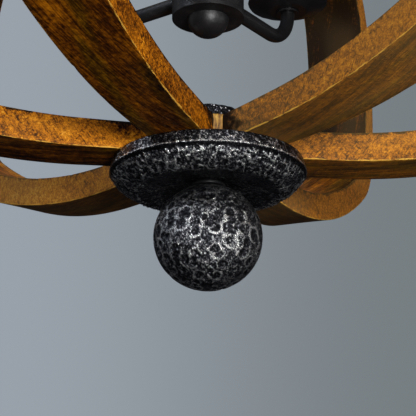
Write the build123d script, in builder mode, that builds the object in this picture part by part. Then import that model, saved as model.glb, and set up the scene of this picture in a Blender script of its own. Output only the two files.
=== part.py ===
from build123d import *
import math
import os

# An orb chandelier: six bent wooden ribs between two iron dishes, a ball finial below,
# a cluster of four candle lamps inside, and a chain and canopy above.
# Millimetres. The origin is on the ceiling, at the centre of the crossbar, with +Z up.
# The orb is made standing on its lower rib plane and is then set down to its hanging height.

# ---------------------------------------------------------------- driving dimensions

# Outer line of a rib, from the pole to the widest place: a level run, then three arcs.
pole_run = 80.0
crown_radius = 430.0
crown_turn = 33.0
shoulder_radius = 72.0
shoulder_turn = 78.0
flank_radius = 300.0

# Section of a rib.
rib_count = 6
rib_hub_thickness = 18.0
rib_shoulder_thickness = 23.0
rib_hub_width = 30.5
rib_middle_width = 44.0
rib_middle_reach = 190.0
rib_flank_width = 54.0

# Wooden hub cores with the dowels that carry the rib ends.
core_radius = 38.0
core_height = 19.2
dowel_radius = 4.0
dowel_depth_in_core = 18.0
dowel_depth_in_rib = 24.0

# Steel plates inside the dishes and the screws from them into the ribs.
plate_radius = 56.0
plate_thickness = 3.0
hub_screw_reach = 48.0
hub_screw_offset = 9.0
hub_screw_radius = 2.0
hub_screw_length = 16.0
hub_screw_head_radius = 4.0
hub_screw_head_height = 2.4
hub_screw_head_taper = 25.0

# Iron dishes: rim band, groove, belly and a hollow underside.
dish_rim_radius = 61.2
dish_band_radius = 63.5
dish_band_height = 8.5
dish_groove_depth = 1.8
dish_groove_height = 1.4
dish_belly_bulge = 2.6
dish_lip_radius = 47.6
dish_depth = 20.5
dish_seat_depth = 14.5
dish_seat_radius = 14.0
dish_wall = 2.2
dish_edge_radius = 0.9

# Domed caps on the inner faces of the cores.
cap_radius = 24.0
cap_wall_height = 11.5
cap_crown_height = 5.6
cap_edge_radius = 1.2

# Ball finial on its stud.
ball_radius = 34.0
ball_drop = 50.1
stud_radius = 4.0
stud_depth_in_ball = 30.0
stud_depth_in_cap = 10.0
washer_radius = 11.0
washer_thickness = 2.2
washer_edge_radius = 0.73

# Stem and candle cluster.
stem_radius = 8.0
stem_bore_radius = 5.0
stem_grip = 12.0
arm_height = 120.0
arm_reach = 100.0
arm_bend_radius = 25.0
arm_radius = 5.0
arm_bore_radius = 3.5
arm_count = 4
arm_first_turn = 45.0
arm_collar_radius = 8.0
arm_collar_height = 1.6
arm_thread_length = 6.0
cluster_radius = 24.0
cluster_height = 30.0
cluster_wall = 2.0
lid_thickness = 3.0
lid_lip_height = 3.0
cluster_finial_radius = 14.0
cluster_finial_height = 13.0
wire_radius = 1.1
stem_wire_spacing = 2.6

# Candle parts.
pan_seat_radius = 14.0
pan_rim_radius = 28.0
pan_depth = 7.0
pan_wall = 1.5
sleeve_radius = 11.0
sleeve_wall = 1.0
sleeve_height = 69.0
socket_radius = 8.6
socket_bore_radius = 6.3
socket_cup_depth = 27.0
socket_stem_radius = 6.6
socket_setback = 1.0
lamp_base_radius = 5.9
lamp_base_height = 24.0
lamp_glass_radius = 16.0
lamp_glass_height = 78.0
lamp_tip_radius = 1.5
lamp_base_lip = 2.0
lamp_belly_radius_share = 0.97
lamp_belly_height_share = 0.3
lamp_neck_radius_share = 0.62
lamp_neck_height_share = 0.72
lamp_foot_slope = (1, 1.2)
lamp_tip_slope = (-0.2, 1)

# Chain and loops.
link_count = 4
link_wire_radius = 2.5
link_bend_radius = 10.0
link_straight = 25.0
top_ring_radius = 14.0
top_ring_wire_radius = 3.5
top_hub_radius = 12.0
top_hub_height = 24.0
top_hub_edge_radius = 2.0
lead_hole_radius = 2.6
lead_hole_headroom = 1.0
canopy_ring_radius = 9.5
canopy_ring_wire_radius = 3.0
canopy_hub_radius = 12.5
canopy_hub_height = 18.0
canopy_hub_proud = 4.0
ring_sunk_share = 0.5

# Canopy and what it is fixed to.
canopy_radius = 65.0
canopy_height = 32.0
canopy_wall = 1.5
canopy_shoulder_radius = 20.0
collar_radius = 18.0
collar_height = 4.5
collar_edge_radius = 1.2
crossbar_width = 20.0
crossbar_thickness = 2.5
crossbar_hole_spacing = 88.9
crossbar_end_margin = 7.55
crossbar_hole_radius = 2.4
nipple_radius = 4.8
nipple_bore_radius = 3.3
nipple_grip = 8.0
nut_width = 15.0
nut_thickness = 4.0
earth_screw_reach = 26.0
earth_screw_radius = 2.0
earth_screw_length = 8.0
earth_screw_head_radius = 3.6
earth_screw_head_height = 2.0

# Clearances.
seat_gap = 0.1
hole_clearance = 0.15
running_clearance = 0.05
swing_gap = 0.3
cover_clearance = 0.3

# ---------------------------------------------------------------- dependent dimensions


def cos_deg(angle):
    """Cosine of an angle in degrees."""
    return math.cos(math.radians(angle))


def sin_deg(angle):
    """Sine of an angle in degrees."""
    return math.sin(math.radians(angle))


# Centres of the three arcs, in the rib's own plane: distance from the axis and height.
crown_centre = (pole_run, crown_radius)
shoulder_centre = (
    crown_centre[0] + (crown_radius - shoulder_radius) * sin_deg(crown_turn),
    crown_centre[1] - (crown_radius - shoulder_radius) * cos_deg(crown_turn),
)
flank_centre = (
    shoulder_centre[0] + (shoulder_radius - flank_radius) * sin_deg(shoulder_turn),
    shoulder_centre[1] - (shoulder_radius - flank_radius) * cos_deg(shoulder_turn),
)
orb_half_height = flank_centre[1]
orb_radius = flank_centre[0] + flank_radius
orb_height = 2 * orb_half_height

# Pitch of the chain: each wire rests in the bend above it.
link_length = link_straight + 2 * link_bend_radius
link_pitch = link_length - 2 * link_wire_radius - swing_gap

# Heights of the hanging pieces, down from the ceiling.
collar_stack = canopy_height + cover_clearance + collar_height + seat_gap
canopy_hub_bottom = -collar_stack - canopy_hub_proud
canopy_hub_top = canopy_hub_bottom + canopy_hub_height
canopy_ring_centre = canopy_hub_bottom - canopy_ring_radius + canopy_ring_wire_radius * ring_sunk_share
first_pivot = canopy_ring_centre - canopy_ring_radius
first_link_top = first_pivot + canopy_ring_wire_radius + link_wire_radius + swing_gap
last_pivot = first_link_top - (link_count - 1) * link_pitch - link_length
top_ring_centre = last_pivot + link_wire_radius + top_ring_wire_radius + swing_gap - top_ring_radius
top_hub_top = top_ring_centre - top_ring_radius + top_ring_wire_radius * ring_sunk_share
top_hub_bottom = top_hub_top - top_hub_height
upper_plane = top_hub_bottom - seat_gap - dish_seat_depth
lower_plane = upper_plane - orb_height

# Heights in the orb, above its lower rib plane.
cluster_bottom = arm_height - cluster_height / 2
cluster_top = arm_height + cluster_height / 2
arm_top = arm_height + arm_bend_radius
pan_bottom = arm_top + arm_collar_height + seat_gap
sleeve_bottom = pan_bottom + pan_wall + seat_gap
arm_thread_top = sleeve_bottom + arm_thread_length
sleeve_top = sleeve_bottom + sleeve_height
socket_top = sleeve_top - socket_setback
lamp_base_bottom = socket_top - lamp_base_height

orb_place = Location((0, 0, lower_plane))
crossbar_length = crossbar_hole_spacing + 2 * crossbar_end_margin
rib_angles = [index * 360.0 / rib_count for index in range(rib_count)]
arm_angles = [arm_first_turn + index * 360.0 / arm_count for index in range(arm_count)]

os.makedirs("parts", exist_ok=True)


def save(part, name):
    """Label a finished piece and write it to its own file."""
    part.label = name
    export_step(part, f"parts/{name}.step")


def at_rib_screws(angle):
    """Places of the two screws into the rib at an angle, either side of its dowel."""
    ray = Vector(cos_deg(angle), sin_deg(angle), 0)
    across = Vector(-ray.Y, ray.X, 0) * hub_screw_offset
    return Locations(ray * hub_screw_reach + across, ray * hub_screw_reach - across)


def turned(part, angle):
    """A copy of a piece turned about the axis of the orb."""
    return Rot(0, 0, angle) * part


def mirrored_to_top(part):
    """The same piece at the upper pole of the orb."""
    return mirror(part, about=Plane.XY.offset(orb_half_height))


# ---------------------------------------------------------------- ribs

crown_length = pole_run + crown_radius * math.radians(crown_turn)


def rib_thickness(along):
    """Thickness of a rib at a length along its outer line from the pole."""
    growth = (rib_shoulder_thickness - rib_hub_thickness) / crown_length
    return rib_hub_thickness + growth * min(along, crown_length)


def crown_inner_point(turn):
    """Point on the inner face of the crown, by the angle turned through."""
    radius = crown_radius - rib_thickness(pole_run + crown_radius * math.radians(turn))
    return (crown_centre[0] + radius * sin_deg(turn), crown_centre[1] - radius * cos_deg(turn))


def crown_outer_point(turn):
    """Point on the outer face of the crown, by the angle turned through."""
    return (
        crown_centre[0] + crown_radius * sin_deg(turn),
        crown_centre[1] - crown_radius * cos_deg(turn),
    )


shoulder_sweep = shoulder_turn - crown_turn
flank_sweep = 90.0 - shoulder_turn
equator = Plane((0, orb_half_height, 0), z_dir=(0, 1, 0))

with BuildPart() as rib:
    with BuildSketch(Plane.XZ):
        with BuildLine():
            Line((0, rib_hub_thickness), (0, 0))
            Line((0, 0), crown_outer_point(0))
            CenterArc(crown_centre, crown_radius, -90, crown_turn)
            CenterArc(shoulder_centre, shoulder_radius, crown_turn - 90, shoulder_sweep)
            CenterArc(flank_centre, flank_radius, shoulder_turn - 90, flank_sweep)
            Line((0, rib_hub_thickness), crown_inner_point(0))
            ThreePointArc(
                crown_inner_point(0), crown_inner_point(crown_turn / 2), crown_inner_point(crown_turn)
            )
            CenterArc(
                shoulder_centre, shoulder_radius - rib_shoulder_thickness, crown_turn - 90, shoulder_sweep
            )
            CenterArc(flank_centre, flank_radius - rib_shoulder_thickness, shoulder_turn - 90, flank_sweep)
            mirror(about=equator)
        make_face()
    extrude(amount=rib_flank_width, both=True)
    with BuildSketch(Plane.XY):
        with BuildLine():
            left_edge = ThreePointArc(
                (0, rib_hub_width / 2),
                (rib_middle_reach, rib_middle_width / 2),
                (orb_radius, rib_flank_width / 2),
            )
            Line(left_edge @ 1, (orb_radius + rib_shoulder_thickness, rib_flank_width / 2))
            Line(
                (orb_radius + rib_shoulder_thickness, rib_flank_width / 2),
                (orb_radius + rib_shoulder_thickness, 0),
            )
            mirror(about=Plane.XZ)
            Line((0, rib_hub_width / 2), (0, -rib_hub_width / 2))
        make_face()
    extrude(amount=orb_height, mode=Mode.INTERSECT)
    Cylinder(
        core_radius + hole_clearance, orb_height, align=(Align.CENTER, Align.CENTER, Align.MIN),
        mode=Mode.SUBTRACT,
    )
    for pole_height in (core_height / 2, orb_height - core_height / 2):
        with BuildSketch(Plane((0, 0, pole_height), x_dir=(0, 1, 0), z_dir=(1, 0, 0))):
            Circle(dowel_radius + hole_clearance)
        extrude(amount=core_radius + dowel_depth_in_rib + seat_gap, mode=Mode.SUBTRACT)
    with BuildSketch(Plane.XY):
        with at_rib_screws(0):
            Circle(hub_screw_radius + hole_clearance)
    extrude(amount=hub_screw_length, mode=Mode.SUBTRACT)
    with BuildSketch(Plane.XY.offset(orb_height)):
        with at_rib_screws(0):
            Circle(hub_screw_radius + hole_clearance)
    extrude(amount=-hub_screw_length, mode=Mode.SUBTRACT)

for number, angle in enumerate(rib_angles, start=1):
    save(orb_place * turned(rib.part, angle), f"rib_{number}")

# ---------------------------------------------------------------- hub pieces at both poles


def hub_core(bore_radius):
    """Wooden block between the rib ends, with a bore on its axis and a hole for each dowel."""
    with BuildPart() as core:
        Cylinder(core_radius, core_height, align=(Align.CENTER, Align.CENTER, Align.MIN))
        Cylinder(
            bore_radius, core_height, align=(Align.CENTER, Align.CENTER, Align.MIN), mode=Mode.SUBTRACT
        )
        for angle in rib_angles:
            ray = Vector(cos_deg(angle), sin_deg(angle), 0)
            start = ray * (core_radius - dowel_depth_in_core - seat_gap) + Vector(0, 0, core_height / 2)
            with BuildSketch(Plane(start, z_dir=ray)):
                Circle(dowel_radius + hole_clearance)
            extrude(amount=core_radius, mode=Mode.SUBTRACT)
    return core.part


def hub_dowels():
    """Wooden dowels from the core into the ribs."""
    with BuildPart() as dowels:
        for angle in rib_angles:
            ray = Vector(cos_deg(angle), sin_deg(angle), 0)
            start = ray * (core_radius - dowel_depth_in_core) + Vector(0, 0, core_height / 2)
            with BuildSketch(Plane(start, z_dir=ray)):
                Circle(dowel_radius)
            extrude(amount=dowel_depth_in_core + dowel_depth_in_rib)
    return dowels.part


def hub_plate(bore_radius):
    """Steel plate under the ribs, with a bore on its axis and two screw holes for each rib."""
    with BuildPart() as plate:
        with BuildSketch(Plane.XY.offset(-seat_gap)):
            Circle(plate_radius)
            Circle(bore_radius, mode=Mode.SUBTRACT)
            for angle in rib_angles:
                with at_rib_screws(angle):
                    Circle(hub_screw_radius + hole_clearance, mode=Mode.SUBTRACT)
        extrude(amount=-plate_thickness)
    return plate.part


def hub_screws():
    """Screws through the plate into the ribs, with a domed head on the plate."""
    head_seat = -plate_thickness - 2 * seat_gap
    with BuildPart() as screws:
        for angle in rib_angles:
            with BuildSketch(Plane.XY.offset(head_seat)):
                with at_rib_screws(angle):
                    Circle(hub_screw_radius)
            extrude(amount=hub_screw_length - seat_gap)
            with BuildSketch(Plane.XY.offset(head_seat)):
                with at_rib_screws(angle):
                    Circle(hub_screw_head_radius)
            extrude(amount=-hub_screw_head_height, taper=hub_screw_head_taper)
    return screws.part


def hub_dish(bore_radius):
    """Iron dish: rim band, groove, convex belly and an underside that rises to a level seat."""
    groove_top = -dish_band_height
    belly_top = groove_top - dish_groove_height
    belly_radius = dish_band_radius - dish_groove_depth
    belly_middle = (
        (belly_radius + dish_lip_radius) / 2 + dish_belly_bulge,
        (belly_top - dish_depth) / 2 - dish_belly_bulge,
    )
    inner_bend = (belly_middle[0] - dish_wall, belly_middle[1] + dish_wall)
    with BuildPart() as dish:
        with BuildSketch(Plane.XZ) as section:
            with BuildLine():
                Polyline(
                    (plate_radius + cover_clearance, -seat_gap),
                    (dish_rim_radius, -seat_gap),
                    (dish_band_radius, groove_top),
                    (belly_radius, belly_top),
                )
                ThreePointArc((belly_radius, belly_top), belly_middle, (dish_lip_radius, -dish_depth))
                Polyline(
                    (dish_lip_radius, -dish_depth),
                    (dish_seat_radius, -dish_seat_depth),
                    (bore_radius, -dish_seat_depth),
                    (bore_radius, dish_wall - dish_seat_depth),
                    (dish_seat_radius, dish_wall - dish_seat_depth),
                    (dish_lip_radius - dish_wall, dish_wall - dish_depth),
                    inner_bend,
                    (plate_radius + cover_clearance, belly_top),
                    (plate_radius + cover_clearance, -seat_gap),
                )
            make_face()
            outer_corners = (
                (dish_rim_radius, -seat_gap),
                (dish_band_radius, groove_top),
                (dish_lip_radius, -dish_depth),
            )
            for corner in outer_corners:
                fillet(section.vertices().sort_by_distance(corner)[0], dish_edge_radius)
        revolve(axis=Axis.Z)
    return dish.part


def hub_cap(bore_radius, bore_depth):
    """Domed iron cap on the inner face of the core, bored from its flat side."""
    base = core_height + seat_gap
    wall_top = base + cap_wall_height
    crown_ball_radius = (cap_radius**2 + cap_crown_height**2) / (2 * cap_crown_height)
    with BuildPart() as cap:
        with BuildSketch(Plane.XZ) as section:
            with BuildLine():
                Polyline((0, wall_top + cap_crown_height), (0, base), (cap_radius, base))
                Line((cap_radius, base), (cap_radius, wall_top))
                RadiusArc((0, wall_top + cap_crown_height), (cap_radius, wall_top), crown_ball_radius)
            make_face()
            fillet(section.vertices().sort_by_distance((cap_radius, wall_top))[0], cap_edge_radius)
        revolve(axis=Axis.Z)
        with BuildSketch(Plane.XY.offset(base)):
            Circle(bore_radius)
        extrude(amount=bore_depth, mode=Mode.SUBTRACT)
    return cap.part


stud_bore_radius = stud_radius + running_clearance
stem_hole_radius = stem_radius + hole_clearance
cap_height = cap_wall_height + cap_crown_height

save(orb_place * hub_core(stud_bore_radius), "lower_hub_core")
save(orb_place * hub_dowels(), "lower_hub_dowels")
save(orb_place * hub_plate(stud_bore_radius), "lower_hub_plate")
save(orb_place * hub_screws(), "lower_hub_screws")
save(orb_place * hub_dish(stud_bore_radius), "lower_dish")
save(orb_place * hub_cap(stud_bore_radius, stud_depth_in_cap + seat_gap), "lower_cap")
save(orb_place * mirrored_to_top(hub_core(stem_hole_radius)), "upper_hub_core")
save(orb_place * mirrored_to_top(hub_dowels()), "upper_hub_dowels")
save(orb_place * mirrored_to_top(hub_plate(stem_hole_radius)), "upper_hub_plate")
save(orb_place * mirrored_to_top(hub_screws()), "upper_hub_screws")
save(orb_place * mirrored_to_top(hub_dish(stem_hole_radius)), "upper_dish")
save(orb_place * mirrored_to_top(hub_cap(stem_hole_radius, cap_height)), "upper_cap")

# ---------------------------------------------------------------- ball finial

washer_top = -dish_seat_depth - seat_gap
washer_bottom = washer_top - washer_thickness
ball_top = washer_bottom - seat_gap

with BuildPart() as lower_stud:
    with BuildSketch(Plane.XY.offset(ball_top - stud_depth_in_ball)):
        Circle(stud_radius)
    extrude(amount=core_height + seat_gap + stud_depth_in_cap - ball_top + stud_depth_in_ball)
save(orb_place * lower_stud.part, "lower_stud")

with BuildPart() as finial_washer:
    with BuildSketch(Plane.XY.offset(washer_bottom)):
        Circle(washer_radius)
        Circle(stud_bore_radius, mode=Mode.SUBTRACT)
    extrude(amount=washer_thickness)
    washer_rims = finial_washer.edges().filter_by(GeomType.CIRCLE).sort_by(SortBy.RADIUS)[-2:]
    fillet(washer_rims, washer_edge_radius)
save(orb_place * finial_washer.part, "finial_washer")

with BuildPart() as finial_ball:
    with Locations((0, 0, -ball_drop)):
        Sphere(ball_radius)
    split(bisect_by=Plane.XY.offset(ball_top), keep=Keep.BOTTOM)
    with BuildSketch(Plane.XY.offset(ball_top)):
        Circle(stud_bore_radius)
    extrude(amount=-stud_depth_in_ball - swing_gap, mode=Mode.SUBTRACT)
save(orb_place * finial_ball.part, "finial_ball")

# ---------------------------------------------------------------- stem and cluster

stem_bottom = cluster_bottom - 2 * seat_gap - lid_thickness - cluster_finial_height / 2
stem_top = orb_height + dish_seat_depth + seat_gap + stem_grip

with BuildPart() as stem:
    with BuildSketch(Plane.XY.offset(stem_bottom)):
        Circle(stem_radius)
        Circle(stem_bore_radius, mode=Mode.SUBTRACT)
    extrude(amount=stem_top - stem_bottom)
    for angle in arm_angles:
        ray = Vector(cos_deg(angle), sin_deg(angle), 0)
        with BuildSketch(Plane((0, 0, arm_height), z_dir=ray)):
            Circle(arm_bore_radius)
        extrude(amount=2 * stem_radius, mode=Mode.SUBTRACT)
save(orb_place * stem.part, "stem")

with BuildPart() as cluster_body:
    with BuildSketch(Plane.XY.offset(cluster_bottom)):
        Circle(cluster_radius)
    extrude(amount=cluster_height)
    fillet(cluster_body.edges().sort_by(Axis.Z)[-1], cluster_wall * 2)
    with BuildSketch(Plane.XY.offset(cluster_bottom)):
        Circle(cluster_radius - cluster_wall)
    extrude(amount=cluster_height - cluster_wall, mode=Mode.SUBTRACT)
    with BuildSketch(Plane.XY.offset(cluster_bottom)):
        Circle(stem_hole_radius)
    extrude(amount=cluster_height, mode=Mode.SUBTRACT)
    for angle in arm_angles:
        ray = Vector(cos_deg(angle), sin_deg(angle), 0)
        with BuildSketch(Plane((0, 0, arm_height), z_dir=ray)):
            Circle(arm_radius + hole_clearance)
        extrude(amount=2 * cluster_radius, mode=Mode.SUBTRACT)
save(orb_place * cluster_body.part, "cluster_body")

with BuildPart() as cluster_lid:
    with BuildSketch(Plane.XY.offset(cluster_bottom - seat_gap)):
        Circle(cluster_radius)
    extrude(amount=-lid_thickness)
    with BuildSketch(Plane.XY.offset(cluster_bottom - seat_gap)):
        Circle(cluster_radius - cluster_wall - hole_clearance)
    extrude(amount=lid_lip_height)
    with BuildSketch(Plane.XY.offset(cluster_bottom + lid_lip_height)):
        Circle(stem_hole_radius)
    extrude(amount=-2 * lid_lip_height - lid_thickness, mode=Mode.SUBTRACT)
save(orb_place * cluster_lid.part, "cluster_lid")

finial_top = cluster_bottom - 2 * seat_gap - lid_thickness

with BuildPart() as cluster_finial:
    with BuildSketch(Plane.XZ):
        with BuildLine():
            Polyline(
                (cluster_finial_radius, finial_top), (0, finial_top), (0, finial_top - cluster_finial_height)
            )
            ThreePointArc(
                (0, finial_top - cluster_finial_height),
                (cluster_finial_radius * sin_deg(45), finial_top - cluster_finial_height * sin_deg(45)),
                (cluster_finial_radius, finial_top),
            )
        make_face()
    revolve(axis=Axis.Z)
    with BuildSketch(Plane.XY.offset(finial_top)):
        Circle(stem_hole_radius)
    extrude(amount=stem_bottom - finial_top - seat_gap, mode=Mode.SUBTRACT)
save(orb_place * cluster_finial.part, "cluster_finial")

arm_start = stem_radius + (cluster_radius - cluster_wall - stem_radius) / 2


def arm_route(first, last):
    """Centre line of an arm in the XZ plane: level, a quarter bend, then upright."""
    with BuildLine(Plane.XZ) as route:
        level = Line((first, arm_height), (arm_reach - arm_bend_radius, arm_height))
        bend = TangentArc(level @ 1, (arm_reach, arm_top), tangent=level % 1)
        Line(bend @ 1, (arm_reach, last))
    return route.line


with BuildPart() as arm:
    add(arm_route(arm_start, arm_thread_top))
    with BuildSketch(Plane((arm_start, 0, arm_height), z_dir=(1, 0, 0))):
        Circle(arm_radius)
        Circle(arm_bore_radius, mode=Mode.SUBTRACT)
    sweep()
    with BuildSketch(Plane.XY.offset(arm_top)):
        with Locations((arm_reach, 0)):
            Circle(arm_collar_radius)
            Circle(arm_bore_radius, mode=Mode.SUBTRACT)
    extrude(amount=arm_collar_height)

with BuildPart() as drip_pan:
    with BuildSketch(Plane.XZ):
        with BuildLine():
            FilletPolyline(
                (arm_radius + hole_clearance, pan_bottom),
                (pan_seat_radius, pan_bottom),
                (pan_rim_radius, pan_bottom + pan_depth),
                radius=pan_depth,
            )
            offset(amount=pan_wall, side=Side.LEFT)
        make_face()
    revolve(axis=Axis.Z)

with BuildPart() as candle_sleeve:
    with BuildSketch(Plane.XY.offset(sleeve_bottom)):
        Circle(sleeve_radius)
        Circle(sleeve_radius - sleeve_wall, mode=Mode.SUBTRACT)
    extrude(amount=sleeve_height)

cup_floor = socket_top - socket_cup_depth
cup_wall = socket_radius - socket_bore_radius

with BuildPart() as socket:
    with BuildSketch(Plane.XZ):
        Polygon(
            (arm_radius + running_clearance, sleeve_bottom),
            (socket_stem_radius, sleeve_bottom),
            (socket_stem_radius, cup_floor - cup_wall),
            (socket_radius, cup_floor - cup_wall),
            (socket_radius, socket_top),
            (socket_bore_radius, socket_top),
            (socket_bore_radius, cup_floor),
            (0, cup_floor),
            (0, cup_floor - cup_wall),
            (arm_bore_radius, cup_floor - cup_wall),
            (arm_bore_radius, arm_thread_top + seat_gap),
            (arm_radius + running_clearance, arm_thread_top + seat_gap),
            align=None,
        )
    revolve(axis=Axis.Z)

glass_bottom = socket_top + swing_gap
glass_top = glass_bottom + lamp_glass_height
glass_foot = glass_bottom + lamp_base_lip
lamp_belly_point = (
    lamp_glass_radius * lamp_belly_radius_share,
    glass_bottom + lamp_glass_height * lamp_belly_height_share,
)
lamp_neck_point = (
    lamp_glass_radius * lamp_neck_radius_share,
    glass_bottom + lamp_glass_height * lamp_neck_height_share,
)

with BuildPart() as lamp:
    with BuildSketch(Plane.XZ):
        with BuildLine():
            Line((0, glass_top), (0, lamp_base_bottom))
            Line((0, lamp_base_bottom), (lamp_base_radius, lamp_base_bottom))
            Line((lamp_base_radius, lamp_base_bottom), (lamp_base_radius, glass_foot))
            Spline(
                (lamp_base_radius, glass_foot),
                lamp_belly_point,
                lamp_neck_point,
                (lamp_tip_radius, glass_top),
                tangents=(lamp_foot_slope, lamp_tip_slope),
            )
            Line((lamp_tip_radius, glass_top), (0, glass_top))
        make_face()
    revolve(axis=Axis.Z)

for number, angle in enumerate(arm_angles, start=1):
    candle_place = orb_place * Rot(0, 0, angle)
    above_arm_end = candle_place * Pos(arm_reach, 0, 0)
    save(candle_place * arm.part, f"arm_{number}")
    save(above_arm_end * drip_pan.part, f"drip_pan_{number}")
    save(above_arm_end * candle_sleeve.part, f"candle_sleeve_{number}")
    save(above_arm_end * socket.part, f"lamp_socket_{number}")
    save(above_arm_end * lamp.part, f"lamp_{number}")

# ---------------------------------------------------------------- wiring held by the object

with BuildPart() as arm_wire:
    add(arm_route(arm_start, cup_floor - cup_wall - seat_gap))
    with BuildSketch(Plane((arm_start, 0, arm_height), z_dir=(1, 0, 0))):
        Circle(wire_radius)
    sweep()

arm_wires = Compound([turned(arm_wire.part, angle) for angle in arm_angles])
save(orb_place * arm_wires, "arm_wires")

with BuildPart() as stem_wires:
    with BuildSketch(Plane.XY.offset(stem_bottom + seat_gap)):
        with Locations((stem_wire_spacing / 2, 0), (-stem_wire_spacing / 2, 0)):
            Circle(wire_radius)
    extrude(amount=stem_top - stem_bottom - 2 * seat_gap)
save(orb_place * stem_wires.part, "stem_wires")

# ---------------------------------------------------------------- chain


def standing_link():
    """Chain link in the XZ plane, centred on the origin."""
    with BuildPart() as link:
        with BuildLine(Plane.XZ):
            right = Line((link_bend_radius, 0), (link_bend_radius, link_straight / 2))
            top = CenterArc((0, link_straight / 2), link_bend_radius, 0, 180)
            left = Line(top @ 1, (-link_bend_radius, -link_straight / 2))
            bottom = CenterArc((0, -link_straight / 2), link_bend_radius, 180, 180)
            Line(bottom @ 1, right @ 0)
        with BuildSketch(Plane.XY):
            with Locations((link_bend_radius, 0)):
                Circle(link_wire_radius)
        sweep()
    return link.part


chain_link = standing_link()
for number in range(1, link_count + 1):
    link_centre = first_link_top - (number - 1) * link_pitch - link_length / 2
    facing = 90 * (number % 2)
    save(Location((0, 0, link_centre)) * turned(chain_link, facing), f"chain_link_{number}")

# ---------------------------------------------------------------- loops, with the hole for the lead

with BuildPart() as top_loop:
    with BuildSketch(Plane.XY.offset(top_hub_bottom)):
        Circle(top_hub_radius)
    extrude(amount=top_hub_height)
    fillet(top_loop.edges().sort_by(Axis.Z)[-1], top_hub_edge_radius)
    with Locations(Location((0, 0, top_ring_centre), (0, 90, 0))):
        Torus(top_ring_radius, top_ring_wire_radius)
    with BuildSketch(Plane.XY.offset(top_hub_bottom)):
        Circle(stem_hole_radius)
    extrude(amount=stem_grip + 2 * lead_hole_radius + lead_hole_headroom, mode=Mode.SUBTRACT)
    with BuildSketch(Plane((0, 0, top_hub_bottom + stem_grip + lead_hole_radius), z_dir=(1, 0, 0))):
        Circle(lead_hole_radius)
    extrude(amount=2 * top_hub_radius, mode=Mode.SUBTRACT)
save(top_loop.part, "top_loop")

with BuildPart() as canopy_loop:
    with BuildSketch(Plane.XY.offset(canopy_hub_bottom)):
        Circle(canopy_hub_radius)
    extrude(amount=canopy_hub_height)
    with Locations(Location((0, 0, canopy_ring_centre), (90, 0, 0))):
        Torus(canopy_ring_radius, canopy_ring_wire_radius)
    with BuildSketch(Plane.XY.offset(canopy_hub_top)):
        Circle(nipple_radius + running_clearance)
    extrude(amount=-nipple_grip - seat_gap, mode=Mode.SUBTRACT)
save(canopy_loop.part, "canopy_loop")

# ---------------------------------------------------------------- canopy and ceiling fixing

canopy_hole_radius = canopy_hub_radius + cover_clearance

with BuildPart() as canopy:
    with BuildSketch(Plane.XZ):
        with BuildLine():
            FilletPolyline(
                (canopy_radius, 0),
                (canopy_radius, -canopy_height),
                (canopy_hole_radius, -canopy_height),
                radius=canopy_shoulder_radius,
            )
            offset(amount=canopy_wall, side=Side.RIGHT)
        make_face()
    revolve(axis=Axis.Z)
save(canopy.part, "canopy")

collar_top = -canopy_height - canopy_wall - seat_gap

with BuildPart() as collar_ring:
    with BuildSketch(Plane.XY.offset(collar_top)):
        Circle(collar_radius)
        Circle(canopy_hole_radius, mode=Mode.SUBTRACT)
    extrude(amount=-collar_height)
    collar_rims = collar_ring.edges().filter_by(GeomType.CIRCLE).sort_by(SortBy.RADIUS)[-2:]
    fillet(collar_rims, collar_edge_radius)
save(collar_ring.part, "collar_ring")

with BuildPart() as crossbar:
    with BuildSketch(Plane.XY):
        SlotOverall(crossbar_length, crossbar_width)
        Circle(nipple_radius + hole_clearance, mode=Mode.SUBTRACT)
        with Locations((crossbar_hole_spacing / 2, 0), (-crossbar_hole_spacing / 2, 0)):
            Circle(crossbar_hole_radius, mode=Mode.SUBTRACT)
        with Locations((earth_screw_reach, 0)):
            Circle(earth_screw_radius + hole_clearance, mode=Mode.SUBTRACT)
    extrude(amount=-crossbar_thickness)
save(crossbar.part, "crossbar")

with BuildPart() as canopy_nipple:
    with BuildSketch(Plane.XY):
        Circle(nipple_radius)
        Circle(nipple_bore_radius, mode=Mode.SUBTRACT)
    extrude(amount=canopy_hub_top - nipple_grip)
save(canopy_nipple.part, "canopy_nipple")

with BuildPart() as nipple_nut:
    with BuildSketch(Plane.XY.offset(-crossbar_thickness - seat_gap)):
        RegularPolygon(nut_width / 2, 6, major_radius=False)
        Circle(nipple_radius + running_clearance, mode=Mode.SUBTRACT)
    extrude(amount=-nut_thickness)
save(nipple_nut.part, "nipple_nut")

with BuildPart() as earth_screw:
    with BuildSketch(Plane.XY.offset(-crossbar_thickness - seat_gap)):
        with Locations((earth_screw_reach, 0)):
            Circle(earth_screw_radius)
    extrude(amount=earth_screw_length)
    with BuildSketch(Plane.XY.offset(-crossbar_thickness - seat_gap)):
        with Locations((earth_screw_reach, 0)):
            Circle(earth_screw_head_radius)
    extrude(amount=-earth_screw_head_height)
save(earth_screw.part, "earth_screw")

print(f"orb {2 * orb_radius:.1f} wide, {orb_height:.1f} tall")
print(f"lower rib plane {lower_plane:.2f}, upper rib plane {upper_plane:.2f}")
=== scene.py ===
"""Looks of the orb chandelier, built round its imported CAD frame.

Six bent and stained ribs run between two hammered iron dishes, with a hammered ball below,
four candle lamps inside, and a chain and canopy above. Everything is in metres in the frame
of the CAD: the origin is on the ceiling, at the centre of the crossbar, with +Z up. Sizes in
the classes are in millimetres, as in the part's own source.
"""

import logging
import math
from contextlib import contextmanager
from dataclasses import dataclass
from enum import Enum
from functools import cached_property
from itertools import pairwise
from typing import Any, Callable, Iterator, Sequence

import bmesh
import bpy
import numpy as np
from mathutils import Matrix, Vector


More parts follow.
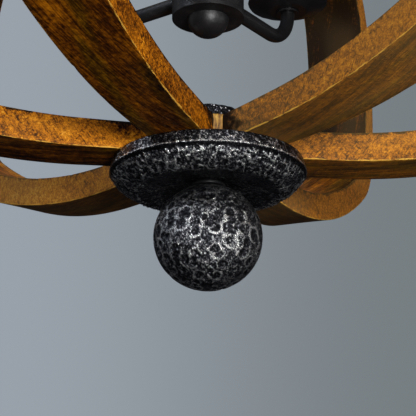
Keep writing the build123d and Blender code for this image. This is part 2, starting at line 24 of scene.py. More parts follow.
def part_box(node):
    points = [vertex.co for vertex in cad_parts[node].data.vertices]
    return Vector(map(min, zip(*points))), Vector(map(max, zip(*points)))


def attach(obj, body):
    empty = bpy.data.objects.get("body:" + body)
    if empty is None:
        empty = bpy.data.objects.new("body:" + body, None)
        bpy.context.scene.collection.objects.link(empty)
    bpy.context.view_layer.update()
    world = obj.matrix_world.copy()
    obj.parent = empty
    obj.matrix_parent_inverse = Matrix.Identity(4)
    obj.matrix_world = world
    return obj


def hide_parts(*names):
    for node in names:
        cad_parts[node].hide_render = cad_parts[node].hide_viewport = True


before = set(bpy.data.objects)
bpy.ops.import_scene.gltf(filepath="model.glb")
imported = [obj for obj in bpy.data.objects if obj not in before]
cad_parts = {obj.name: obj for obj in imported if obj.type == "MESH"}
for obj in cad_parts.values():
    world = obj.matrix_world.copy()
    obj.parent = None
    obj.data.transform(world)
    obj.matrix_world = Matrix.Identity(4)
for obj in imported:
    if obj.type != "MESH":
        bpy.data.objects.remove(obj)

MM = 0.001
NOISE_MIDDLE = 0.5
LOWER_BORE = 4.05
UPPER_BORE = 8.15

log = logging.getLogger("chandelier")

Point = tuple[float, float]
Range = tuple[float, float]
Triple = tuple[float, float, float]
Colour = tuple[float, float, float, float]


def srgb(red: int, green: int, blue: int) -> Colour:
    """Turn a colour as read off a picture into the linear colour that nodes take.

    Args:
        red: Red from 0 to 255.
        green: Green from 0 to 255.
        blue: Blue from 0 to 255.

    Returns:
        The linear colour with an alpha of 1.
    """
    parts = [c / 255 for c in (red, green, blue)]
    linear = [c / 12.92 if c <= 0.04045 else ((c + 0.055) / 1.055) ** 2.4 for c in parts]
    return (linear[0], linear[1], linear[2], 1.0)


# ---------------------------------------------------------------- node expressions


class Signal:
    """A socket in a node tree, with Python's operators adding Math nodes."""

    def __init__(self, sheet: "Sheet", socket: bpy.types.NodeSocket) -> None:
        """Wrap a socket of a sheet."""
        self.sheet = sheet
        self.socket = socket

    def _maths(self, operation: str, *values: "Signal | float") -> "Signal":
        """Add a Math node that works on the given values, in order."""
        return self.sheet.node("ShaderNodeMath", {"operation": operation}, dict(enumerate(values)))

    def __add__(self, other: "Signal | float") -> "Signal":
        """Sum."""
        return self._maths("ADD", self, other)

    __radd__ = __add__

    def __sub__(self, other: "Signal | float") -> "Signal":
        """Difference."""
        return self._maths("SUBTRACT", self, other)

    def __rsub__(self, other: float) -> "Signal":
        """Difference from a number."""
        return self._maths("SUBTRACT", other, self)

    def __mul__(self, other: "Signal | float") -> "Signal":
        """Product."""
        return self._maths("MULTIPLY", self, other)

    __rmul__ = __mul__

    def largest(self, other: "Signal | float") -> "Signal":
        """The larger of two values."""
        return self._maths("MAXIMUM", self, other)

    def clamped(self) -> "Signal":
        """The value kept between 0 and 1."""
        return self.sheet.node("ShaderNodeClamp", {}, {"Value": self})

    def step(self, low: float, high: float) -> "Signal":
        """Rise smoothly from 0 at low to 1 at high.

        Args:
            low: Value below which the result is 0.
            high: Value above which the result is 1. It may be less than low.

        Returns:
            The eased value.
        """
        settings = {"interpolation_type": "SMOOTHSTEP"}
        inputs = {"Value": self, "From Min": min(low, high), "From Max": max(low, high)}
        rise = self.sheet.node("ShaderNodeMapRange", settings, inputs)
        return rise if low < high else 1 - rise


def varied(base: Signal | float, *patterns: tuple[Signal, float]) -> Signal:
    """Add patterns that vary about their middle value.

    Args:
        base: What they are added to.
        patterns: Each pattern with its weight.

    Returns:
        The sum.
    """
    total = base
    for pattern, weight in patterns:
        total = total + (pattern - NOISE_MIDDLE) * weight
    return total


class Sheet:
    """The nodes of one material or of the world."""

    def __init__(self, tree: bpy.types.NodeTree) -> None:
        """Clear a node tree and keep it."""
        self.tree = tree
        tree.nodes.clear()

    def node(
        self,
        kind: str,
        settings: dict[str, Any] | None = None,
        inputs: dict[str | int, Any] | None = None,
        output: str | int = 0,
    ) -> Signal:
        """Add a node.

        Args:
            kind: Type name of the node.
            settings: Values of the node itself, set first. "stops" are a ramp's stops.
            inputs: Values or signals for its sockets, by name or number.
            output: The socket to return.

        Returns:
            One of the node's outputs.
        """
        made = self.tree.nodes.new(kind)
        for key, value in (settings or {}).items():
            if key == "stops":
                self._set_stops(made.color_ramp, value)
            else:
                setattr(made, key, value)
        for key, value in (inputs or {}).items():
            socket = made.inputs[key]
            if isinstance(value, Signal):
                self.tree.links.new(value.socket, socket)
            else:
                socket.default_value = value
        return Signal(self, made.outputs[output] if made.outputs else None)

    @staticmethod
    def _set_stops(ramp: bpy.types.ColorRamp, stops: Sequence[tuple[float, Colour]]) -> None:
        """Give a colour ramp its stops.

        Args:
            ramp: The ramp.
            stops: The place and the colour of each stop, from low to high.
        """
        while len(ramp.elements) > 1:
            ramp.elements.remove(ramp.elements[-1])
        ramp.elements[0].position, ramp.elements[0].color = stops[0]
        for position, colour in stops[1:]:
            ramp.elements.new(position).color = colour

    def attribute(self, name: str, output: str = "Vector") -> Signal:
        """An attribute that the mesh carries."""
        return self.node("ShaderNodeAttribute", {"attribute_name": name}, output=output)

    def place(self) -> Signal:
        """Object coordinates, in metres."""
        return self.node("ShaderNodeTexCoord", output="Object")

    def parts(self, vector: Signal) -> tuple[Signal, Signal, Signal]:
        """The three parts of a vector."""
        outputs = self.node("ShaderNodeSeparateXYZ", {}, {0: vector}).socket.node.outputs
        return Signal(self, outputs[0]), Signal(self, outputs[1]), Signal(self, outputs[2])

    def noise(self, vector: Signal, scale: float, detail: float = 3.0, roughness: float = 0.5) -> Signal:
        """Cloudy noise around 0.5."""
        inputs = {"Vector": vector, "Scale": scale, "Detail": detail, "Roughness": roughness}
        return self.node("ShaderNodeTexNoise", {}, inputs)

    def streaks(
        self,
        vector: Signal,
        scale: Triple,
        detail: float = 3.0,
        roughness: float = 0.5,
        turn: float = 0.0,
        axis: str = "Y",
    ) -> Signal:
        """Noise whose clouds are longer one way than another.

        Args:
            vector: Where it is read.
            scale: Clouds per metre along each axis.
            detail: Its finer layers.
            roughness: How strong those layers are.
            turn: Turn of the vector before it is scaled, in radians.
            axis: Letter of the axis that it is turned about.

        Returns:
            The noise, around 0.5.
        """
        if turn:
            settings = {"rotation_type": f"{axis}_AXIS"}
            vector = self.node("ShaderNodeVectorRotate", settings, {"Vector": vector, "Angle": turn})
        drawn = self.node("ShaderNodeVectorMath", {"operation": "MULTIPLY"}, {0: vector, 1: scale})
        return self.noise(drawn, 1.0, detail, roughness)

    def mixed(self, factor: Signal | float, low: Signal | Colour, high: Signal | Colour) -> Signal:
        """A colour between two."""
        inputs = {0: factor, 6: low, 7: high}
        return self.node("ShaderNodeMix", {"data_type": "RGBA"}, inputs, output=2)

    def ramp(self, value: Signal, stops: Sequence[tuple[float, Colour]]) -> Signal:
        """A colour read off a ramp."""
        return self.node("ShaderNodeValToRGB", {"stops": stops}, {"Fac": value})

    def bump(self, height: Signal, distance: float, strength: float = 1.0) -> Signal:
        """A normal bumped by a height from 0 to 1, distance metres high."""
        inputs = {"Height": height, "Distance": distance, "Strength": strength}
        return self.node("ShaderNodeBump", {}, inputs)

    def surface(self, inputs: dict[str, Any]) -> Signal:
        """A Principled shader."""
        return self.node("ShaderNodeBsdfPrincipled", {}, inputs)

    def finish(self, shader: Signal, kind: str = "ShaderNodeOutputMaterial") -> None:
        """Send a shader to the tree's output."""
        self.node(kind, {}, {"Surface": shader})


@dataclass(frozen=True)
class Finish:
    """A finish that makes its material once, the first time it is asked for."""

    name: str

    @cached_property
    def material(self) -> bpy.types.Material:
        """The material of this finish."""
        made = bpy.data.materials.new(self.name)
        made.use_nodes = True
        sheet = Sheet(made.node_tree)
        sheet.finish(self.shader(sheet))
        return made

    def shader(self, sheet: Sheet) -> Signal:
        """Add this finish's nodes.

        Args:
            sheet: The sheet that the nodes go on.

        Returns:
            The shader of the surface.
        """
        raise NotImplementedError


# ---------------------------------------------------------------- finishes


@dataclass(frozen=True)
class StainedWood(Finish):
    """Hand-rubbed stain on bent wood: golden mottled sides, dark streaky faces, worn arrises.

    The ribs carry where they are in three attributes. "grain" is the length along, the place
    across and the depth from the outer face, in metres. "place" is the distance from the
    nearer hub and from the nearest arris, in metres, and how much of a side face it is.
    "stain" is how much lighter a rib's faces are than the others', and its sides, both partly
    real staining and partly painted shade that makes each rib read as lit where it hangs, and
    how much painted grey sheen it has. The pale line on the outer arrises is partly wear and
    partly painted highlight. The ribs are darker at their ends, partly from end stain and
    partly from painted shade where they meet the hubs.
    """

    black: Colour = srgb(20, 7, 0)
    umber: Colour = srgb(80, 38, 1)
    chestnut: Colour = srgb(140, 78, 4)
    amber: Colour = srgb(194, 114, 10)
    gold: Colour = srgb(226, 146, 20)
    pale: Colour = srgb(240, 184, 76)
    dark_olive: Colour = srgb(66, 44, 0)
    olive: Colour = srgb(146, 108, 6)
    grey_brown: Colour = srgb(148, 119, 72)
    line_width: float = 0.0008
    hatch_cells: Triple = (150.0, 300.0, 1300.0)
    inner_depth: Range = (0.010, 0.016)
    hub_shade: Range = (0.17, 0.045)
    # Painted shadow: inner faces are darkened between these distances from the hub
    painted_shadow_from: Range = (0.32, 0.35)
    painted_shadow_to: Range = (0.43, 0.41)
    # Reach of the darkening at the rib ends: partly dark end stain, partly painted shade where the ribs
    # meet the hub and dish
    end_stain_and_shade_reach: Range = (0.046, 0.022)
    dark_arris_width: Range = (0.002, 0.0)

    def shader(self, sheet: Sheet) -> Signal:
        """Add the wood's nodes.

        Args:
            sheet: The sheet that the nodes go on.

        Returns:
            The shader of the surface.
        """
        grain = sheet.attribute("grain")
        hub, arris, side = sheet.parts(sheet.attribute("place"))
        depth = sheet.parts(grain)[2]
        # Per-rib offsets for faces and sides, partly real staining and partly painted shade; the third
        # part is painted grey sheen
        face_stain_and_shade, side_stain_and_shade, painted_grey_sheen = sheet.parts(sheet.attribute("stain"))

        streaks = sheet.streaks(grain, (11.0, 150.0, 60.0), 4.0, 0.66, turn=0.13, axis="Z")
        fibres = sheet.streaks(grain, (80.0, 900.0, 900.0), 3.0, 0.65, turn=0.2, axis="Z")
        clouds = sheet.streaks(grain, (26.0, 60.0, 60.0), 3.0, 0.6)
        mottle = sheet.noise(grain, 300.0, 3.0, 0.7)
        grit = sheet.noise(grain, 900.0, 2.0, 0.6)
        rubbed = sheet.streaks(grain, self.hatch_cells, 2.0, 0.6, turn=0.85)
        crossed = sheet.streaks(grain, self.hatch_cells, 2.0, 0.6, turn=-0.7)
        hatch = rubbed.step(0.5, 0.72).largest(crossed.step(0.54, 0.74) * 0.8)

        # Sides: the rib's offset, partly painted shade, and darker near the hub as painted shade where
        # the ribs meet it, more so on ribs with painted grey sheen
        plain_side = 0.58 + side_stain_and_shade - hub.step(*self.hub_shade) * (0.04 + painted_grey_sheen * 0.35)
        side_tone = varied(plain_side, (clouds, 0.6), (mottle, 1.1), (grit, 0.9), (fibres, 0.5))
        side_tone = side_tone - hatch * 0.34
        inner = depth.step(*self.inner_depth)
        # Painted shadow on the inner faces of the uprights, in a band of distance from the hub
        painted_shadow = hub.step(*self.painted_shadow_from) * hub.step(*self.painted_shadow_to)
        plain_face = 0.3 + face_stain_and_shade + inner * (0.1 - painted_shadow * 0.45)
        face_tone = varied(plain_face, (clouds, 0.6), (streaks, 1.2), (fibres, 1.0), (mottle, 0.8))
        tone = face_tone + side * (side_tone - face_tone)
        # Darker at the rib ends, more on the inner faces: partly dark end stain, partly painted shade
        # where the ribs meet the hub and the dish rim
        end_stain_and_shade = varied(hub - depth * 1.3, (clouds, 0.09), (mottle, 0.03)).step(*self.end_stain_and_shade_reach)
        # Darker along the inner arrises
        dark_inner_arris = varied(arris, (mottle, 0.005), (clouds, 0.004)).step(*self.dark_arris_width) * inner
        tone = (tone - end_stain_and_shade * 0.5 - dark_inner_arris * 0.5).clamped()
        colour = sheet.ramp(
            tone,
            [
                (0.0, self.black),
                (0.22, self.umber),
                (0.42, self.chestnut),
                (0.62, self.amber),
                (0.82, self.gold),
                (1.0, self.pale),
            ],
        )
        tint = sheet.streaks(grain, (10.0, 70.0, 70.0), 2.0)
        greener = sheet.ramp(tone, [(0.0, self.black), (0.3, self.dark_olive), (0.75, self.olive)])
        colour = sheet.mixed(tint.step(0.46, 0.66) * 0.7 * (1 - side), colour, greener)
        dusty = sheet.streaks(grain, (7.0, 18.0, 18.0), 1.0).step(0.5, 0.75)
        open_faces = 1 - inner * (1 - side) * 0.85
        # Dust streaks, and a painted grey sheen on the open faces of some ribs, both drawn towards
        # grey-brown
        dust_and_grey_sheen = (dusty * 0.1 + painted_grey_sheen * (0.6 + dusty * 0.4) * open_faces) * (1 - end_stain_and_shade)
        colour = sheet.mixed(dust_and_grey_sheen.clamped(), colour, self.grey_brown)
        # Pale line along the outer arrises: partly wear, partly a painted highlight where the rounded
        # arris catches the light
        edge = varied(arris, (sheet.streaks(grain, (110.0, 500.0, 500.0), 3.0, 0.7), 0.0032))
        worn = edge.step(self.line_width, self.line_width * 0.4) * (1 - end_stain_and_shade) * (1 - inner * 0.85)
        colour = sheet.mixed(worn * 0.75, colour, self.pale)
        rough = varied(0.5 + (1 - tone) * 0.1, (mottle, 0.3)) + worn * 0.1
        relief = fibres * 0.4 + hatch * 0.3 + mottle * 0.3
        inputs = {
            "Base Color": colour,
            "Roughness": rough.clamped(),
            "Specular IOR Level": 0.11,
            "Normal": sheet.bump(relief, 0.0004, 0.8),
        }
        return sheet.surface(inputs)


@dataclass(frozen=True)
class CoreWood(Finish):
    """Pale golden wood of the hub cores, its grain upright."""

    dark: Colour = srgb(66, 38, 8)
    middle: Colour = srgb(146, 102, 30)
    light: Colour = srgb(204, 158, 66)

    def shader(self, sheet: Sheet) -> Signal:
        """Add the wood's nodes.

        Args:
            sheet: The sheet that the nodes go on.

        Returns:
            The shader of the surface.
        """
        place = sheet.place()
        grain = sheet.streaks(place, (560.0, 560.0, 90.0), 3.0, 0.7)
        cloud = sheet.noise(place, 190.0, 2.0)
        tone = varied(0.5, (grain, 2.4), (cloud, 1.3)).clamped()
        colour = sheet.ramp(tone, [(0.1, self.dark), (0.5, self.middle), (0.9, self.light)])
        inputs = {
            "Base Color": colour,
            "Roughness": 0.66 - tone * 0.15,
            "Normal": sheet.bump(grain, 0.0003, 0.7),
        }
        return sheet.surface(inputs)


@dataclass(frozen=True)
class HammeredIron(Finish):
    """Black satin iron, pitted all over, whose hammered ridges are rubbed back to bright metal.

    A mesh that was hammered carries "ridge", its height from 0 in a dent to 1 on a ridge. On the
    dishes it is raised along the band's lower edge as a painted highlight and lowered in the
    groove as painted shade. On the caps it is lowered all over as painted shade.
    """

    black: Colour = srgb(22, 22, 25)
    slate: Colour = srgb(74, 75, 84)
    silver: Colour = srgb(232, 232, 230)

    def shader(self, sheet: Sheet) -> Signal:
        """Add the iron's nodes.

        Args:
            sheet: The sheet that the nodes go on.

        Returns:
            The shader of the surface.
        """
        place = sheet.place()
        ridge = sheet.attribute("ridge", "Fac")
        speck = sheet.noise(place, 1500.0, 2.0, 0.7)
        grit = sheet.noise(place, 700.0, 3.0, 0.7)
        scuff = sheet.streaks(place, (700.0, 700.0, 240.0), 2.0, 0.7, turn=0.6)
        patch = sheet.noise(place, 85.0, 2.0, 0.5)
        rubbed = varied(ridge * 0.95 - 0.03, (speck, 1.9), (grit, 2.4), (scuff, 1.4), (patch, 0.8))
        slate = rubbed.step(0.1, 0.55)
        silver = rubbed.step(0.42, 0.95)
        colour = sheet.mixed(slate, self.black, self.slate)
        colour = sheet.mixed(silver, colour, self.silver)
        relief = grit * 0.5 + speck * 0.2 + scuff * 0.3
        inputs = {
            "Base Color": colour,
            "Metallic": (0.85 + slate * 0.1).clamped(),
            "Roughness": varied(0.31 - silver * 0.04, (speck, 0.3)).clamped(),
            "Normal": sheet.bump(relief, 0.0016, 1.0),
        }
        return sheet.surface(inputs)


@dataclass(frozen=True)
class PaintedIron(Finish):
    """Black paint over forged iron, slightly uneven and rubbed grey in places."""

    black: Colour = srgb(24, 24, 26)
    worn: Colour = srgb(92, 90, 88)

    def shader(self, sheet: Sheet) -> Signal:
        """Add the paint's nodes.

        Args:
            sheet: The sheet that the nodes go on.

        Returns:
            The shader of the surface.
        """
        place = sheet.place()
        peel = sheet.noise(place, 420.0, 2.0, 0.5)
        patch = sheet.noise(place, 90.0, 3.0, 0.6)
        speck = sheet.noise(place, 1600.0, 1.0)
        worn = (patch * 0.7 + speck * 0.45).step(0.62, 0.78) * 0.45
        inputs = {
            "Base Color": sheet.mixed(worn, self.black, self.worn),
            "Metallic": worn,
            "Roughness": varied(0.42, (patch, 0.35)).clamped(),
            "Normal": sheet.bump(peel * 0.7 + speck * 0.3, 0.00025, 0.8),
        }
        return sheet.surface(inputs)


@dataclass(frozen=True)
class BrushedMetal(Finish):
    """Plain metal such as zinc plate or brass, with fine scratches and a dull patina."""

    bright: Colour
    dull: Colour
    roughness: float = 0.32

    def shader(self, sheet: Sheet) -> Signal:
        """Add the metal's nodes.

        Args:
            sheet: The sheet that the nodes go on.

        Returns:
            The shader of the surface.
        """
        place = sheet.place()
        patina = sheet.noise(place, 140.0, 3.0, 0.6)
        scratch = sheet.streaks(place, (220.0, 2600.0, 2600.0), 2.0)
        inputs = {
            "Base Color": sheet.mixed(patina.step(0.4, 0.7), self.bright, self.dull),
            "Metallic": 1.0,
            "Roughness": varied(self.roughness, (patina, 0.3), (scratch, 0.2)).clamped(),
            "Normal": sheet.bump(scratch, 0.00006, 0.5),
        }
        return sheet.surface(inputs)


@dataclass(frozen=True)
class MouldedShell(Finish):
    """Moulded or dipped plastic, card and wax: an even colour with faint mottling."""

    light: Colour
    shade: Colour
    roughness: float = 0.4
    grain: float = 300.0

    def shader(self, sheet: Sheet) -> Signal:
        """Add the shell's nodes.

        Args:
            sheet: The sheet that the nodes go on.

        Returns:
            The shader of the surface.
        """
        place = sheet.place()
        cloud = sheet.noise(place, 70.0, 3.0, 0.55)
        fine = sheet.noise(place, self.grain, 2.0)
        inputs = {
            "Base Color": sheet.mixed(cloud.step(0.35, 0.7), self.light, self.shade),
            "Roughness": varied(self.roughness, (fine, 0.25)).clamped(),
            "Normal": sheet.bump(fine * 0.6 + cloud * 0.4, 0.00025, 0.6),
        }
        return sheet.surface(inputs)


@dataclass(frozen=True)
class BulbGlass(Finish):
    """Clear glass of a candle lamp, with a trace of dust."""

    clear: Colour = (0.96, 0.97, 0.97, 1.0)
    dust: Colour = (0.78, 0.79, 0.78, 1.0)

    def shader(self, sheet: Sheet) -> Signal:
        """Add the glass's nodes.

        Args:
            sheet: The sheet that the nodes go on.

        Returns:
            The shader of the surface.
        """
        dust = sheet.noise(sheet.place(), 160.0, 3.0, 0.6).step(0.5, 0.8)
        inputs = {
            "Base Color": sheet.mixed(dust, self.clear, self.dust),
            "Roughness": dust * 0.12 + 0.02,
            "Transmission Weight": 1.0,
            "IOR": 1.45,
        }
        return sheet.surface(inputs)


@dataclass(frozen=True)
class FloorPaint(Finish):
    """Plain pale studio floor that throws little light up, and is clear from underneath."""

    seen: Colour = (0.9, 0.91, 0.93, 1.0)
    bounced: Colour = (0.06, 0.06, 0.065, 1.0)
    glow: Colour = (0.17, 0.18, 0.2, 1.0)
    unlit: Colour = (0.0, 0.0, 0.0, 1.0)

    def shader(self, sheet: Sheet) -> Signal:
        """Add the floor's nodes.

        Args:
            sheet: The sheet that the nodes go on.

        Returns:
            The shader of the surface.
        """
        ray = sheet.node("ShaderNodeLightPath", output="Is Camera Ray")
        shade = sheet.noise(sheet.place(), 1.3, 2.0)
        inputs = {
            "Base Color": sheet.mixed(ray, self.bounced, self.seen),
            "Roughness": shade * 0.2 + 0.7,
            "Emission Color": sheet.mixed(ray, self.unlit, self.glow),
            "Emission Strength": 1.0,
        }
        paint = sheet.surface(inputs)
        clear = sheet.node("ShaderNodeBsdfTransparent")
        below = sheet.node("ShaderNodeNewGeometry", output="Backfacing")
        return sheet.node("ShaderNodeMixShader", {}, {0: below, 1: paint, 2: clear})


RIB_WOOD = StainedWood("rib_wood_finish")
CORE_WOOD = CoreWood("core_wood_finish")
HAMMERED = HammeredIron("hammered_iron_finish")
IRON = PaintedIron("black_iron_finish")
ZINC = BrushedMetal("zinc_steel_finish", srgb(196, 198, 200), srgb(140, 143, 148))
BRASS = BrushedMetal("brass_finish", srgb(214, 176, 96), srgb(150, 112, 54), 0.26)
TUNGSTEN = BrushedMetal("filament_finish", srgb(150, 140, 128), srgb(96, 88, 80), 0.4)
GREEN_PAINT = MouldedShell("green_screw_finish", srgb(38, 122, 62), srgb(24, 84, 42), 0.35)
WAX = MouldedShell("candle_sleeve_finish", srgb(232, 217, 184), srgb(206, 184, 140), 0.46, 240.0)
PHENOLIC = MouldedShell("lamp_socket_finish", srgb(40, 34, 30), srgb(24, 20, 18), 0.34)
SHEATH = MouldedShell("wire_finish", srgb(226, 224, 214), srgb(196, 192, 180), 0.5)
GLASS = BulbGlass("lamp_glass_finish")
FLOOR = FloorPaint("floor_finish")

CAD_FINISHES: dict[str, Finish] = {
    "rib_wood": RIB_WOOD,
    "core_wood": CORE_WOOD,
    "dowel_wood": CORE_WOOD,
    "hammered_iron": HAMMERED,
    "black_iron": IRON,
    "zinc_steel": ZINC,
    "brass": BRASS,
    "green_screw": GREEN_PAINT,
    "sleeve": WAX,
    "socket": PHENOLIC,
    "lamp_glass": GLASS,
    "wire": SHEATH,
}


# ---------------------------------------------------------------- bench


class Pole(Enum):
    """The two poles of the orb. The value is the sign of a height measured into the orb."""

    LOWER = 1
    UPPER = -1

    @property
    def plane(self) -> float:
        """Height of the rib plane at this pole, in millimetres."""
        low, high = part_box("rib_1")
        return (low.z if self is Pole.LOWER else high.z) / MM

    def height(self, inward: float) -> float:
        """Height in the frame of a height measured into the orb."""
        return self.plane + self.value * inward


def clear_bench() -> None:
    """Leave edit mode and deselect everything."""
    if bpy.context.mode != "OBJECT":
        bpy.ops.object.mode_set(mode="OBJECT")
    bpy.ops.object.select_all(action="DESELECT")


class Workpiece:
    """A mesh being shaped with operators, its place in its mesh."""

    def __init__(self, name: str) -> None:
        """Take the primitive that was just added, and put its place in its mesh."""
        self.object = bpy.context.active_object
        self.object.name = self.object.data.name = name
        bpy.ops.object.transform_apply(location=True, rotation=True, scale=True)

    def take(self) -> None:
        """Select this piece alone, and make it the active one."""
        clear_bench()
        self.object.select_set(True)
        bpy.context.view_layer.objects.active = self.object

    @contextmanager
    def editing(self, mode: str = "VERT") -> Iterator[None]:
        """Work in edit mode, and leave it after.

        Args:
            mode: What is selected: VERT, EDGE or FACE.

        Yields:
            Nothing.
        """
        self.take()
        bpy.ops.object.mode_set(mode="EDIT")
        bpy.ops.mesh.select_mode(type=mode)
        yield
        bpy.ops.object.mode_set(mode="OBJECT")

    def pick(self, test: Callable[[Vector], bool]) -> None:
        """Select the elements of the current mode whose centre passes a test.

        Args:
            test: Says of a place in metres whether it is wanted.
        """
        bpy.ops.mesh.select_all(action="DESELECT")
        shape = bmesh.from_edit_mesh(self.object.data)
        vert_mode, edge_mode, _ = bpy.context.tool_settings.mesh_select_mode
        if vert_mode:
            found = [v for v in shape.verts if test(v.co)]
        elif edge_mode:
            found = [e for e in shape.edges if test((e.verts[0].co + e.verts[1].co) / 2)]
        else:
            found = [f for f in shape.faces if test(f.calc_center_median())]
        for element in found:
            element.select_set(True)
        shape.select_flush_mode()
        bmesh.update_edit_mesh(self.object.data)

    def modify(self, kind: str, **settings: Any) -> None:
        """Add a modifier and apply it.

        Args:
            kind: Its type.
            settings: Its settings, by name.
        """
        self.take()
        modifier = self.object.modifiers.new(kind.lower(), kind)
        for key, value in settings.items():
            setattr(modifier, key, value)
        bpy.ops.object.modifier_apply(modifier=modifier.name)

    def tidy(self, angle: float = 50.0) -> "Workpiece":
        """Merge doubles, turn the faces outwards and shade smoothly up to an angle.

        Args:
            angle: The sharpest edge that is shaded smooth, in degrees.

        Returns:
            The piece itself.
        """
        with self.editing():
            bpy.ops.mesh.select_all(action="SELECT")
            bpy.ops.mesh.remove_doubles(threshold=1e-6)
            bpy.ops.mesh.normals_make_consistent(inside=False)
        self.object.select_set(True)
        bpy.ops.object.shade_smooth_by_angle(angle=math.radians(angle))
        return self

    def copied(self, name: str, matrix: Matrix) -> "Workpiece":
        """A copy with its own mesh, put elsewhere.

        Args:
            name: Name of the copy.
            matrix: Where the copy's mesh goes, from this one's.

        Returns:
            The copy.
        """
        self.take()
        bpy.ops.object.duplicate(linked=False)
        twin = object.__new__(Workpiece)
        twin.object = bpy.context.active_object
        twin.object.name = twin.object.data.name = name
        twin.object.data.transform(matrix)
        return twin

    @staticmethod
    def _rows(items: Any, field: str) -> np.ndarray:
        """Read a vector of each item of a mesh.

        Args:
            items: The mesh's vertices or their normals.
            field: The field that holds the vector.

        Returns:
            The vectors, one row each.
        """
        flat = np.zeros(len(items) * 3)
        items.foreach_get(field, flat)
        return flat.reshape(-1, 3)

    def points(self) -> np.ndarray:
        """Places of the vertices in millimetres, one row each."""
        return self._rows(self.object.data.vertices, "co") / MM

    def normals(self) -> np.ndarray:
        """Normals of the vertices, one row each."""
        return self._rows(self.object.data.vertex_normals, "vector")

    def move_to(self, points: np.ndarray) -> None:
        """Put the vertices at new places, in millimetres."""
        self.object.data.vertices.foreach_set("co", (points * MM).ravel())
        self.object.data.update()

    def push(self, lift: np.ndarray) -> None:
        """Move each vertex along its normal by its own lift, in millimetres."""
        self.move_to(self.points() + self.normals() * lift[:, None])

    def carry(self, name: str, values: np.ndarray) -> None:
        """Keep a number or a vector for each vertex.

        Args:
            name: Name of the attribute that keeps it.
            values: The numbers, or the vectors, one row each.
        """
        kind = "FLOAT" if values.ndim == 1 else "FLOAT_VECTOR"
        field = "value" if values.ndim == 1 else "vector"
        attribute = self.object.data.attributes.new(name, kind, "POINT")
        attribute.data.foreach_set(field, values.astype(np.float32).ravel())

    def add_to(self, name: str, values: np.ndarray) -> None:
        """Add to a number that is kept for each vertex.

        Args:
            name: Name of the attribute that keeps it.
            values: What is added.
        """
        held = np.zeros(len(values), np.float32)
        data = self.object.data.attributes[name].data
        data.foreach_get("value", held)
        data.foreach_set("value", held + values.astype(np.float32))

    def join(self, other: "Workpiece") -> None:
        """Join another piece into this one.

        Args:
            other: The other piece.
        """
        self.take()
        other.object.select_set(True)
        bpy.ops.object.join()


def dress(piece: Workpiece, finish: Finish, body: str, slot: str, *nodes: str) -> None:
    """Give a piece its finish, and say what it rides on and stands for.

    Args:
        piece: The piece.
        finish: Its finish.
        body: The body that it rides on.
        slot: The record's material slot; not used.
        nodes: The CAD nodes that it stands for.
    """
    piece.object.data.materials.clear()
    piece.object.data.materials.append(finish.material)
    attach(piece.object, body)
    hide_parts(*nodes)
    log.info("%s rides on %s: %d faces", piece.object.name, body, len(piece.object.data.polygons))


def arc(centre: Point, radius: float, start: float, end: float, steps: int) -> list[Point]:
    """Points of an arc.

    Args:
        centre: Its centre.
        radius: Its radius.
        start: Angle of its first point, in degrees.
        end: Angle of its last point, in degrees.
        steps: Number of steps.

    Returns:
        The points, both ends included.
    """
    turns = (math.radians(start + (end - start) * i / steps) for i in range(steps + 1))
    return [(centre[0] + radius * math.cos(t), centre[1] + radius * math.sin(t)) for t in turns]


def eased(points: Sequence[Point], radius: float, steps: int = 3) -> list[Point]:
    """Round the inner corners of a line of points.

    Args:
        points: The line.
        radius: Rounding radius, made smaller where a run is short.
        steps: Steps in each rounding.

    Returns:
        The rounded line.
    """
    made = [points[0]]
    for before, corner, after in zip(points, points[1:], points[2:]):
        a, b, c = (np.array(p) for p in (before, corner, after))
        into, out = (a - b) / np.linalg.norm(a - b), (c - b) / np.linalg.norm(c - b)
        angle = math.acos(max(-1.0, min(1.0, float(into @ out))))
        if math.pi - angle < 0.05:
            made.append(corner)
            continue
        room = 0.45 * min(np.linalg.norm(a - b), np.linalg.norm(c - b))
        back = min(radius / math.tan(angle / 2), room)
        first, last = b + into * back, b + out * back
        for i in range(steps + 1):
            t = i / steps
            bend = first * (1 - t) ** 2 + b * 2 * t * (1 - t) + last * t**2
            made.append((float(bend[0]), float(bend[1])))
    made.append(points[-1])
    return made


def paced(points: Sequence[Point], pitch: float) -> list[Point]:
    """Add points on the long runs of a line.

    Args:
        points: The line.
        pitch: The longest run that stays.

    Returns:
        The line with the added points.
    """
    made = [points[0]]
    for a, b in pairwise(points):
        run, rise = b[0] - a[0], b[1] - a[1]
        count = max(1, math.ceil(math.dist(a, b) / pitch))
        made += [(a[0] + run * i / count, a[1] + rise * i / count) for i in range(1, count + 1)]
    return made


